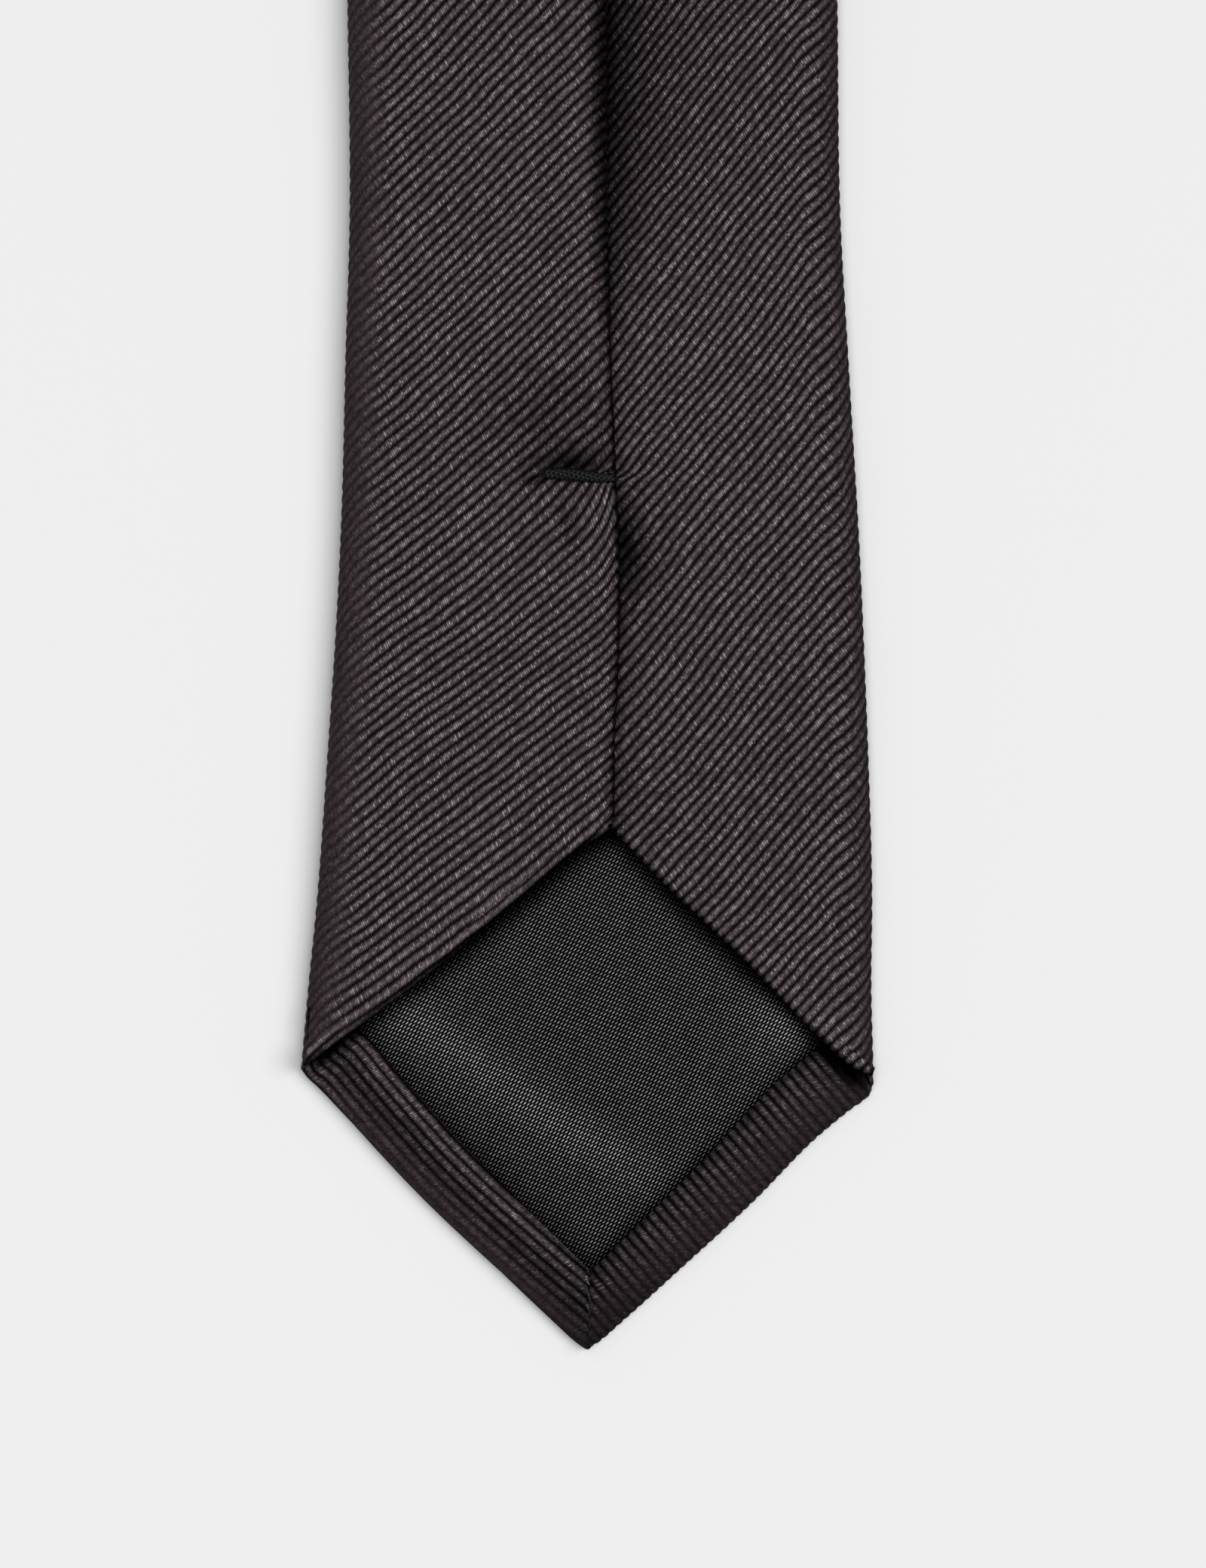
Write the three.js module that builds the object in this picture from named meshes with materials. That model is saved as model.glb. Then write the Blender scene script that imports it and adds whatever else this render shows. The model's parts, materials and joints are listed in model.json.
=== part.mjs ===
// Necktie: the wide blade lies flat with its back up and its tip towards -Y, and the rest is rolled up
// behind it with the narrow end at the core. Millimetres, +Z up, origin under the middle of the whole.
//
// Every layer is a strip that follows one path. A place on the tie is (s, x, h): s runs along the face
// cloth from the wide tip, x runs across, and h is the height above the outside of the face cloth,
// towards the back of the tie, which is also towards the core of the roll.
import * as THREE from "three";

// ---- Driving dimensions ----
const tieLength = 1480; // from tip to tip along the face cloth
const flatLength = 222; // from the wide tip to the front of the roll
const coreRadius = 6.5; // least radius of the innermost half turn, at the face cloth
const rollStraight = 12; // straight run between two half turns
const turnGap = 0.8; // air between two turns

const shellCloth = 0.4;
const interliningCloth = 0.9;
const tippingCloth = 0.3;
const layerGap = 0.3; // air between two layers, and between two pieces that meet end to end
const threadWidth = 0.4;
const foldRound = 1.2; // how far a side fold is rounded in from its edge

const tipAngle = 91; // degrees, between the two edges of a pointed end
const flapAngle = 38; // degrees, of a flap's lower edge above the crosswise direction
const tipHalfWidth = 2; // a pointed end is rounded off at this half width

const wide = { width: 70, hem: 7.8, tipping: 118, tackAt: 107.3 };
const narrow = { width: 48, hem: 6, tipping: 80, tackAt: 72 };
const neckWidth = 34;
const neckFrom = 640; // seam of the wide blade and the neck
const neckTo = 1010; // seam of the neck and the narrow blade
const interliningJoin = 820;
// How the wide blade narrows past its corners: [distance past them, width lost].
const wideTaper = [
  [54, 5.5],
  [87, 8.6],
  [104, 10],
  [135, 10.4],
];

const seamAside = 2.8; // the left flap's free edge lies this far right of the middle
const underlap = 6; // and the right flap's free edge this far left of it, underneath

const endFoldAt = 88; // crosswise fold lines, from the wide tip
const liftFoldAt = 200;

const tack = { from: -5.8, to: 3.5, across: 1.4, thick: 1 };
const narrowTackThick = 0.4;
const keeper = { from: 181, width: 14, halfSpan: 17, sewn: 1.6 };
const label = { from: 203.5, width: 10, reach: 22, cloth: 0.25 };
const tackThread = 0.35; // thickness of the small hand tacks
const hiddenThread = 0.16; // thickness of a seam thread pressed between two layers

const halfTurnSteps = 8;
const flatStep = 9; // longest step between two sections where the tie is flat

// ---- Layers, as heights above the outside of the face cloth ----
const interliningLow = shellCloth + layerGap;
const interliningHigh = interliningLow + interliningCloth;
const tippingLow = interliningHigh + layerGap;
const tippingHigh = tippingLow + tippingCloth;
const rightFlapLow = tippingHigh + layerGap;
const rightFlapHigh = rightFlapLow + shellCloth;
const leftFlapLow = rightFlapHigh + layerGap;
const leftFlapHigh = leftFlapLow + shellCloth;
const hemHigh = tippingLow + shellCloth;
const turnPitch = leftFlapHigh + turnGap;

// ---- The path of the face cloth ----
// Outer radius with which this many half turns use up the whole length. Each half turn is turnPitch / 2
// smaller than the last, a straight run lies between two of them, and the first one rises from the floor.
function outerRadiusFor(halfTurns) {
  const straights = rollStraight * halfTurns;
  const lostToPitch = (Math.PI * turnPitch * halfTurns * (halfTurns - 1)) / 4;
  const length = tieLength - flatLength - straights + turnPitch / 2 + lostToPitch;
  return length / (Math.PI * halfTurns + 1);
}

// The most half turns that leave the innermost one no tighter than coreRadius.
function planRoll() {
  let halfTurns = 1;
  const innermost = (count) => outerRadiusFor(count) - ((count - 1) * turnPitch) / 2;
  while (innermost(halfTurns + 1) >= coreRadius) halfTurns += 1;
  return { halfTurns, outerRadius: outerRadiusFor(halfTurns) };
}

const roll = planRoll();
const bendAt = flatLength + rollStraight + roll.outerRadius - turnPitch / 2; // where the cloth leaves the floor
const midLength = (bendAt + roll.outerRadius) / 2; // middle of the whole, from the wide tip

// Knots of the path: s, place (y, z) and the direction (ny, nz) that h is measured in.
function pathKnots() {
  const knots = [{ s: 0, y: 0, z: 0, ny: 0, nz: 1 }];
  let s = bendAt;
  for (let k = 0; k < roll.halfTurns; k++) {
    const radius = roll.outerRadius - (k * turnPitch) / 2;
    const rising = k % 2 === 0;
    const centreY = rising ? bendAt : bendAt - rollStraight;
    const centreZ = rising ? roll.outerRadius : roll.outerRadius + turnPitch / 2;
    for (let i = 0; i <= halfTurnSteps; i++) {
      const turned = (Math.PI * i) / halfTurnSteps + (rising ? 0 : Math.PI);
      const ny = -Math.sin(turned);
      const nz = Math.cos(turned);
      const along = s + (radius * Math.PI * i) / halfTurnSteps;
      knots.push({ s: along, y: centreY - radius * ny, z: centreZ - radius * nz, ny, nz });
    }
    s += radius * Math.PI + rollStraight;
  }
  return knots;
}

const knots = pathKnots();

// The point of the tie at (s, x, h), on the straight facets between two knots.
function place(s, x, h) {
  let i = 0;
  while (i < knots.length - 2 && knots[i + 1].s < s) i += 1;
  const a = knots[i];
  const b = knots[i + 1];
  const t = (s - a.s) / (b.s - a.s);
  const mix = (key) => a[key] + (b[key] - a[key]) * t;
  return [x, mix("y") + mix("ny") * h - midLength, mix("z") + mix("nz") * h];
}

// ---- Plan of the tie ----
const clamp01 = (t) => Math.min(1, Math.max(0, t));
const cornerOf = (end) => end.width / 2 / Math.tan(THREE.MathUtils.degToRad(tipAngle / 2));
const flapRun = 1 / Math.tan(THREE.MathUtils.degToRad(flapAngle)); // crosswise run of a flap's edge for 1 mm along
const edgeRun = Math.tan(THREE.MathUtils.degToRad(tipAngle / 2)); // the same for the edge of a pointed end
const hemAcross = (end) => end.hem / Math.cos(THREE.MathUtils.degToRad(tipAngle / 2));
const hemMeetsFlap = (end) => hemAcross(end) / (flapRun + edgeRun); // past the corner

// The nearer end and the distance from its tip.
const nearEnd = (s) =>
  s < tieLength / 2 ? { end: wide, d: s } : { end: narrow, d: tieLength - s };

const widthStations = [
  [cornerOf(wide), wide.width],
  ...wideTaper.map(([past, lost]) => [cornerOf(wide) + past, wide.width - lost]),
  [neckFrom, neckWidth],
  [neckTo, neckWidth],
  [tieLength - cornerOf(narrow), narrow.width],
];

function halfWidth(s) {
  const { end, d } = nearEnd(s);
  if (d <= cornerOf(end)) {
    return tipHalfWidth + (end.width / 2 - tipHalfWidth) * (d / cornerOf(end));
  }
  let i = 0;
  while (i < widthStations.length - 2 && widthStations[i + 1][0] < s) i += 1;
  const [s0, w0] = widthStations[i];
  const [s1, w1] = widthStations[i + 1];
  return (w0 + (w1 - w0) * clamp01((s - s0) / (s1 - s0))) / 2;
}

// How far the hem or the flap comes in from the side fold. aside is where its free edge ends up.
function reachIn(s, aside) {
  const { end, d } = nearEnd(s);
  const past = d - cornerOf(end);
  const hem = Math.min(hemAcross(end) - Math.max(0, past) * edgeRun, halfWidth(s) - layerGap / 2);
  const flap = Math.min(past * flapRun, halfWidth(s) + aside);
  return Math.max(hem, flap);
}

// 0 where the cloth is a hem and 1 where it is a flap.
function flapRise(s) {
  const { end, d } = nearEnd(s);
  return clamp01((d - cornerOf(end)) / hemMeetsFlap(end));
}

const roundAt = (s) => Math.min(foldRound, halfWidth(s) / 2);

// Half width of a layer that lies inside the side folds.
const insideFolds = (s) => halfWidth(s) - roundAt(s) - layerGap;

// ---- Cross-sections, as closed outlines of (x, h), anticlockwise seen from the wide tip ----
const rectangle = (x0, x1, h0, h1) => [
  [x0, h0],
  [x1, h0],
  [x1, h1],
  [x0, h1],
];

function shellSection(s) {
  const a = halfWidth(s);
  const r = roundAt(s);
  const rise = flapRise(s);
  const leftLow = tippingLow + (leftFlapLow - tippingLow) * rise;
  const rightLow = tippingLow + (rightFlapLow - tippingLow) * rise;
  const leftEdge = -a + reachIn(s, seamAside);
  const rightEdge = a - reachIn(s, underlap);
  return [
    [-a + r, 0],
    [a - r, 0],
    [a, (rightLow + shellCloth) / 2],
    [a - r, rightLow + shellCloth],
    [rightEdge, rightLow + shellCloth],
    [rightEdge, rightLow],
    [a - r, rightLow],
    [a - shellCloth, (rightLow + shellCloth) / 2],
    [a - r, shellCloth],
    [-a + r, shellCloth],
    [-a + shellCloth, (leftLow + shellCloth) / 2],
    [-a + r, leftLow],
    [leftEdge, leftLow],
    [leftEdge, leftLow + shellCloth],
    [-a + r, leftLow + shellCloth],
    [-a, (leftLow + shellCloth) / 2],
  ];
}

// The interlining is one layer under the tipping and comes up to the flaps past it.
function interliningSection(s) {
  const { end, d } = nearEnd(s);
  const ramp = clamp01((d - end.tipping - layerGap) / 4);
  const high = interliningHigh + (tippingHigh - interliningHigh) * ramp;
  return rectangle(-insideFolds(s), insideFolds(s), interliningLow, high);
}

// The tipping fills the space between the hems, then spreads under the flaps.
function tippingSection(s) {
  const { end, d } = nearEnd(s);
  const past = d - cornerOf(end) - hemMeetsFlap(end);
  const betweenHems = halfWidth(s) - reachIn(s, seamAside) - layerGap;
  const atMeeting = halfWidth(s) - hemMeetsFlap(end) * flapRun - layerGap;
  const b = past < 0 ? betweenHems : Math.min(insideFolds(s), atMeeting + past * 2);
  return rectangle(-b, b, tippingLow, tippingHigh);
}

// A hem's seam, hidden under the join of hem and tipping. side is -1 left or 1 right.
const hemSeamSection = (side) => (s) => {
  const join = side * (halfWidth(s) - reachIn(s, 0));
  const middle = (interliningHigh + tippingLow) / 2;
  const half = hiddenThread / 2;
  return rectangle(join - threadWidth * 2, join + threadWidth * 2, middle - half, middle + half);
};

const mitreSection = () =>
  rectangle(-threadWidth, threadWidth, hemHigh + hiddenThread / 2, hemHigh + hiddenThread * 2);

const slipStitchSection = () => {
  const x = -underlap - threadWidth * 2;
  return rectangle(x - threadWidth / 2, x + threadWidth / 2, rightFlapLow, rightFlapLow + threadWidth);
};

const keeperSection = () => {
  const high = leftFlapHigh + layerGap;
  const low = rightFlapHigh + layerGap;
  const stepFrom = seamAside + 1.2;
  const stepTo = stepFrom + 4;
  return [
    [-keeper.halfSpan, high],
    [stepFrom, high],
    [stepTo, low],
    [keeper.halfSpan, low],
    [keeper.halfSpan, low + shellCloth],
    [stepTo + shellCloth, low + shellCloth],
    [stepFrom + shellCloth, high + shellCloth],
    [-keeper.halfSpan, high + shellCloth],
  ];
};

// ---- Solids ----
// Lengths at which a strip from s0 to s1 has a cross-section.
function stationsBetween(s0, s1) {
  const wanted = [s0, s1, ...knots.map((k) => k.s), ...widthStations.map(([s]) => s)];
  for (const { end, tip, way } of [
    { end: wide, tip: 0, way: 1 },
    { end: narrow, tip: tieLength, way: -1 },
  ]) {
    const corner = cornerOf(end);
    const hemFull = (hemAcross(end) - tipHalfWidth) / edgeRun; // where the hem has its whole width
    const leftApex = corner + (end.width / 2 + seamAside) / flapRun;
    const rightApex = corner + (end.width / 2 + underlap) / flapRun;
    const places = [hemFull, corner + hemMeetsFlap(end), leftApex, rightApex, end.tipping, end.tipping + 4];
    wanted.push(...places.map((d) => tip + way * d));
  }
  const sorted = wanted.filter((s) => s >= s0 && s <= s1).sort((p, q) => p - q);
  const kept = [s0];
  for (const s of sorted) {
    const last = kept.at(-1);
    const steps = s <= bendAt ? Math.ceil((s - last) / flatStep) : 1;
    if (s - last < threadWidth && s !== s1) continue;
    for (let i = 1; i <= steps && s > last; i++) kept.push(last + ((s - last) * i) / steps);
  }
  return kept;
}

// A closed strip whose cross-section is sectionAt(s), from s0 to s1, with flat ends.
function strip(s0, s1, sectionAt) {
  const stations = stationsBetween(s0, s1);
  const sections = stations.map(sectionAt);
  const count = sections[0].length;
  const positions = [];
  sections.forEach((section, j) => {
    for (const [x, h] of section) positions.push(...place(stations[j], x, h));
  });
  const index = [];
  for (let j = 0; j + 1 < stations.length; j++) {
    for (let i = 0; i < count; i++) {
      const a = j * count + i;
      const b = j * count + ((i + 1) % count);
      index.push(a, b + count, b, a, a + count, b + count);
    }
  }
  const last = (stations.length - 1) * count;
  const outline = (section) => section.map(([x, h]) => new THREE.Vector2(x, h));
  for (const [a, b, c] of THREE.ShapeUtils.triangulateShape(outline(sections[0]), [])) {
    index.push(a, b, c);
  }
  for (const [a, b, c] of THREE.ShapeUtils.triangulateShape(outline(sections.at(-1)), [])) {
    index.push(last + a, last + c, last + b);
  }
  const geometry = new THREE.BufferGeometry();
  geometry.setAttribute("position", new THREE.Float32BufferAttribute(positions, 3));
  geometry.setIndex(index);
  geometry.computeVertexNormals();
  return geometry;
}

// ---- Materials ----
const finish = (color, roughness) =>
  new THREE.MeshStandardMaterial({ color, roughness, metalness: 0, side: THREE.FrontSide });
const ribbedCloth = finish(0x3d373a, 0.62);
const satinTipping = finish(0x1c2020, 0.5);
const woolInterlining = finish(0xb9b2a4, 0.95);
const blackThread = finish(0x15171a, 0.7);
const labelSatin = finish(0x25262a, 0.55);

// ---- Assembly ----
const necktie = new THREE.Group();

function add(name, material, s0, s1, sectionAt) {
  const mesh = new THREE.Mesh(strip(s0, s1, sectionAt), material);
  mesh.name = name;
  necktie.add(mesh);
}

const before = (s) => s - layerGap / 2;
const after = (s) => s + layerGap / 2;
const fromNarrowTip = (d) => tieLength - d;

// Shell: three panels of face cloth, the wide one cut at the two crosswise folds.
add("wide_blade_shell_end", ribbedCloth, 0, before(endFoldAt), shellSection);
add("wide_blade_shell_mid", ribbedCloth, after(endFoldAt), before(liftFoldAt), shellSection);
add("wide_blade_shell_rolled", ribbedCloth, after(liftFoldAt), before(neckFrom), shellSection);
add("neck_shell", ribbedCloth, after(neckFrom), before(neckTo), shellSection);
add("narrow_blade_shell", ribbedCloth, after(neckTo), tieLength, shellSection);

// Interlining: it starts where the pointed end is wide enough to hold it.
const interliningInset = 4;
add("wide_interlining_end", woolInterlining, interliningInset, before(endFoldAt), interliningSection);
add("wide_interlining_mid", woolInterlining, after(endFoldAt), before(liftFoldAt), interliningSection);
add("wide_interlining_rolled", woolInterlining, after(liftFoldAt), before(interliningJoin), interliningSection);
add(
  "narrow_interlining",
  woolInterlining,
  after(interliningJoin),
  fromNarrowTip(interliningInset),
  interliningSection,
);

// Tipping: the lining of a pointed end, from where there is room between its hems.
const tippingInset = (end) => (hemAcross(end) + layerGap + 1 - tipHalfWidth) / edgeRun;
add("wide_tipping_end", satinTipping, tippingInset(wide), before(endFoldAt), tippingSection);
add("wide_tipping_mid", satinTipping, after(endFoldAt), wide.tipping, tippingSection);
add(
  "narrow_tipping",
  satinTipping,
  fromNarrowTip(narrow.tipping),
  fromNarrowTip(tippingInset(narrow)),
  tippingSection,
);

// Seams of the hems and mitres.
const hemSeamEnd = (end) => cornerOf(end) + hemMeetsFlap(end) - 1;
const mitre = (end) => ({ from: tipHalfWidth / 2, to: (hemAcross(end) - tipHalfWidth) / edgeRun - 1 });
for (const [side, way] of [
  ["left", -1],
  ["right", 1],
]) {
  const seam = hemSeamSection(way);
  add("wide_hem_seam_" + side, blackThread, tippingInset(wide), hemSeamEnd(wide), seam);
  add(
    "narrow_hem_seam_" + side,
    blackThread,
    fromNarrowTip(hemSeamEnd(narrow)),
    fromNarrowTip(tippingInset(narrow)),
    seam,
  );
}
add("wide_mitre_stitches", blackThread, mitre(wide).from, mitre(wide).to, mitreSection);
add(
  "narrow_mitre_stitches",
  blackThread,
  fromNarrowTip(mitre(narrow).to),
  fromNarrowTip(mitre(narrow).from),
  mitreSection,
);

// Bar tacks: the narrow one lies flatter, between two turns of the roll.
const tackLow = leftFlapHigh + hiddenThread;
const tackAcross = (thick) => () => rectangle(tack.from, tack.to, tackLow, tackLow + thick);
const tackSpan = (s) => [s - tack.across / 2, s + tack.across / 2];
add("wide_bar_tack", blackThread, ...tackSpan(wide.tackAt), tackAcross(tack.thick));
add("narrow_bar_tack", blackThread, ...tackSpan(fromNarrowTip(narrow.tackAt)), tackAcross(narrowTackThick));

// Slip stitch: the one long thread that holds the back seam, along the hidden edge of the right flap.
add("slip_stitch_mid", blackThread, wide.tackAt, before(liftFoldAt), slipStitchSection);
add("slip_stitch_rolled", blackThread, after(liftFoldAt), fromNarrowTip(narrow.tackAt), slipStitchSection);

// Seams of the neck, pressed between the face cloth and the interlining, and the interlining's join.
const crossSeam = (low, high) => (s) => {
  const middle = (low + high) / 2;
  const half = hiddenThread / 2;
  return rectangle(-insideFolds(s) + 1, insideFolds(s) - 1, middle - half, middle + half);
};
const seamSpan = (s) => [s - threadWidth * 2, s + threadWidth * 2];
add("neck_seam_wide", blackThread, ...seamSpan(neckFrom), crossSeam(shellCloth, interliningLow));
add("neck_seam_narrow", blackThread, ...seamSpan(neckTo), crossSeam(shellCloth, interliningLow));
add("interlining_join_stitch", blackThread, ...seamSpan(interliningJoin), crossSeam(tippingHigh, rightFlapLow));

// Keeper loop across the back, tacked down at both ends.
const keeperTo = keeper.from + keeper.width;
add("keeper_loop", ribbedCloth, keeper.from, keeperTo, keeperSection);
const keeperTack = (x, clothTop) => () => {
  const low = clothTop + hiddenThread;
  return rectangle(x - keeper.sewn / 2, x + keeper.sewn / 2, low, low + tackThread);
};
const keeperTackX = keeper.halfSpan - keeper.sewn;
const keeperLeftTop = leftFlapHigh + layerGap + shellCloth;
const keeperRightTop = rightFlapHigh + layerGap + shellCloth;
add("keeper_tack_left", blackThread, keeper.from + 1, keeperTo - 1, keeperTack(-keeperTackX, keeperLeftTop));
add("keeper_tack_right", blackThread, keeper.from + 1, keeperTo - 1, keeperTack(keeperTackX, keeperRightTop));

// Blank care label, caught in the back seam beside the left flap's free edge.
const labelLow = rightFlapHigh + layerGap;
const labelFrom = seamAside + layerGap;
const labelTo = label.from + label.width;
add("care_label", labelSatin, label.from, labelTo, () =>
  rectangle(labelFrom, labelFrom + label.reach, labelLow, labelLow + label.cloth),
);
const labelStitchLow = labelLow + label.cloth + hiddenThread / 2;
add("care_label_stitch", blackThread, label.from + 1, labelTo - 1, () =>
  rectangle(labelFrom + 1, labelFrom + 1 + threadWidth * 2, labelStitchLow, labelStitchLow + hiddenThread),
);

export default necktie;
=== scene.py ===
"""Necktie: a dark ribbed tie lying face down, its wide blade flat and the rest rolled up behind it.

A place on the tie is (x, s, h) in millimetres: x runs across, s runs along the face cloth from the wide
tip, and h is the height above the outside of the face cloth, towards the back of the tie. The cloth has
its own coordinates (u, v), also in millimetres, and its ribs are the lines where u + v stays the same.
The rows of every cloth mesh follow the ribs, so that each rib is a real ridge.
"""

import json
import logging
import math
from dataclasses import dataclass, field
from enum import Enum
from typing import Callable, Sequence

import bpy
import numpy as np
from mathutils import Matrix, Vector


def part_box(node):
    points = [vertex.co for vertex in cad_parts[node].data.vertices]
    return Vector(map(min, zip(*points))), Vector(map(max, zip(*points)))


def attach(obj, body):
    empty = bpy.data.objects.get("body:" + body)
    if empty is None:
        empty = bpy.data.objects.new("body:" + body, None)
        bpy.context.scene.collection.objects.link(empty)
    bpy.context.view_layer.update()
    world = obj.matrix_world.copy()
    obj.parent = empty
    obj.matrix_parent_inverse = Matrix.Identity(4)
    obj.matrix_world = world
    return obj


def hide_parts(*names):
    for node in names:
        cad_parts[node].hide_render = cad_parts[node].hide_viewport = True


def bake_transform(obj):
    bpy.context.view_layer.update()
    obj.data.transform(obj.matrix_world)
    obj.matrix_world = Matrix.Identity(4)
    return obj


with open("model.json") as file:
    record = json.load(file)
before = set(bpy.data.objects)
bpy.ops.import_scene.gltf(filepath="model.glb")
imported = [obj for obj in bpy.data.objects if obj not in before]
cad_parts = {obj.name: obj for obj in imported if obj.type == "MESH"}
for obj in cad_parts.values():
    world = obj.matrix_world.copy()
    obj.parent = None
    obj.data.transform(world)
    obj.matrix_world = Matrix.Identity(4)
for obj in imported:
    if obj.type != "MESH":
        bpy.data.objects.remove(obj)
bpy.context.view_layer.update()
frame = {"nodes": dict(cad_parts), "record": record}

LOG = logging.getLogger("necktie")
MM = 0.001
Curve = Callable[[np.ndarray], np.ndarray]
Points = Sequence[tuple[float, float]]

TIE_LENGTH = 1480.0
RIB_PITCH = 1.17  # between two ribs, square to them
RIB_STEP = RIB_PITCH * math.sqrt(2)  # the same in u + v
RIB_RELIEF = 0.17  # from a rib's crest to the groove
THREAD_PITCH = 0.29  # between two crosswise threads on a rib
HALF_WIDE = 35.0  # half the wide end's width
HALF_NARROW = 24.0  # and the narrow end's


# ---------------------------------------------------------------- curves


def through(points: Points) -> Curve:
    """Make a smooth function through a few points.

    Args:
        points: (place, value) pairs in rising order of place.

    Returns:
        A function of an array of places, constant beyond the first and the last point.
    """
    xs, ys = np.array(points, float).T
    slopes = np.gradient(ys, xs)

    def curve(x: np.ndarray) -> np.ndarray:
        """Return the values at the places x."""
        x = np.clip(x, xs[0], xs[-1])
        i = np.clip(np.searchsorted(xs, x) - 1, 0, len(xs) - 2)
        step = xs[i + 1] - xs[i]
        t = (x - xs[i]) / step
        rise = (3 - 2 * t) * t * t
        bend = t * (1 - t) * step * ((1 - t) * slopes[i] - t * slopes[i + 1])
        return ys[i] + (ys[i + 1] - ys[i]) * rise + bend

    return curve


def ease(t: np.ndarray) -> np.ndarray:
    """Return a smooth step from 0 to 1 as t goes from 0 to 1."""
    t = np.clip(t, 0, 1)
    return t * t * (3 - 2 * t)


def bump(t: np.ndarray) -> np.ndarray:
    """Return a bell of height 1 that has fallen to about a third at t = 1 and t = -1."""
    return np.exp(-t * t)


def swell(x: np.ndarray, y: np.ndarray, seed: int, size: float) -> np.ndarray:
    """Return a slow, uneven wave between about -1 and 1, as cloth shows when it lies loosely.

    Args:
        x: Places across, in millimetres.
        y: Places along, in millimetres.
        seed: Chooses the wave.
        size: The usual distance between two crests, in millimetres.

    Returns:
        The wave's values, one for each place.
    """
    rng = np.random.default_rng(seed)
    total = np.zeros(np.broadcast(x, y).shape)
    for _ in range(7):
        angle, phase, k = rng.uniform(0, math.tau), rng.uniform(0, math.tau), rng.uniform(0.6, 1.6)
        total += np.sin((x * math.cos(angle) + y * math.sin(angle)) * k * math.tau / size + phase)
    return total / 4


def rib_relief(u: np.ndarray, v: np.ndarray) -> np.ndarray:
    """Return how far the cloth stands out at (u, v): 0 in a groove and RIB_RELIEF on a crest."""
    return RIB_RELIEF * np.abs(np.sin(math.pi * (u + v) / RIB_STEP)) ** 0.75


# ---------------------------------------------------------------- path and plan


@dataclass(frozen=True)
class TiePath:
    """The way the tie takes: flat along +Y, then rolled up in half turns with short straights between them."""

    mid: float = -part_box("wide_blade_shell_end")[0].y / MM
    outer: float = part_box("wide_blade_shell_rolled")[1].z / MM / 2
    pitch: float = 4.4
    straight: float = 12.0

    @property
    def bend_at(self) -> float:
        """Return where the cloth leaves the floor, from the wide tip."""
        return 2 * self.mid - self.outer

    def place(self, x: np.ndarray, s: np.ndarray, h: np.ndarray) -> np.ndarray:
        """Turn places on the tie into points of the row frame.

        Args:
            x: Places across the tie.
            s: Places along it.
            h: Heights above the outside of the face cloth.

        Returns:
            An array of points in metres, one row each.
        """
        x, s, h = (np.asarray(a, float).ravel() for a in np.broadcast_arrays(x, s, h))
        y = s.copy()
        z = h.copy()
        start, radius, k = self.bend_at, self.outer, 0
        while start < TIE_LENGTH + 1 and radius > 0:
            rising = k % 2 == 0
            centre_y = self.bend_at - (0 if rising else self.straight)
            centre_z = self.outer + (0 if rising else self.pitch / 2)
            end = start + math.pi * radius
            turning = (s >= start) & (s < end)
            angle = (s - start) / radius + (0 if rising else math.pi)
            y = np.where(turning, centre_y + (radius - h) * np.sin(angle), y)
            z = np.where(turning, centre_z - (radius - h) * np.cos(angle), z)
            running = (s >= end) & (s < end + self.straight)
            way = -1 if rising else 1
            y = np.where(running, centre_y + way * (s - end), y)
            z = np.where(running, centre_z - way * (radius - h), z)
            start, radius, k = end + self.straight, radius - self.pitch / 2, k + 1
        return np.stack([x, y - self.mid, z], 1) * MM


class Side(Enum):
    """A side of the tie, seen from the back with the tip down."""

    LEFT = -1
    RIGHT = 1


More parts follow.
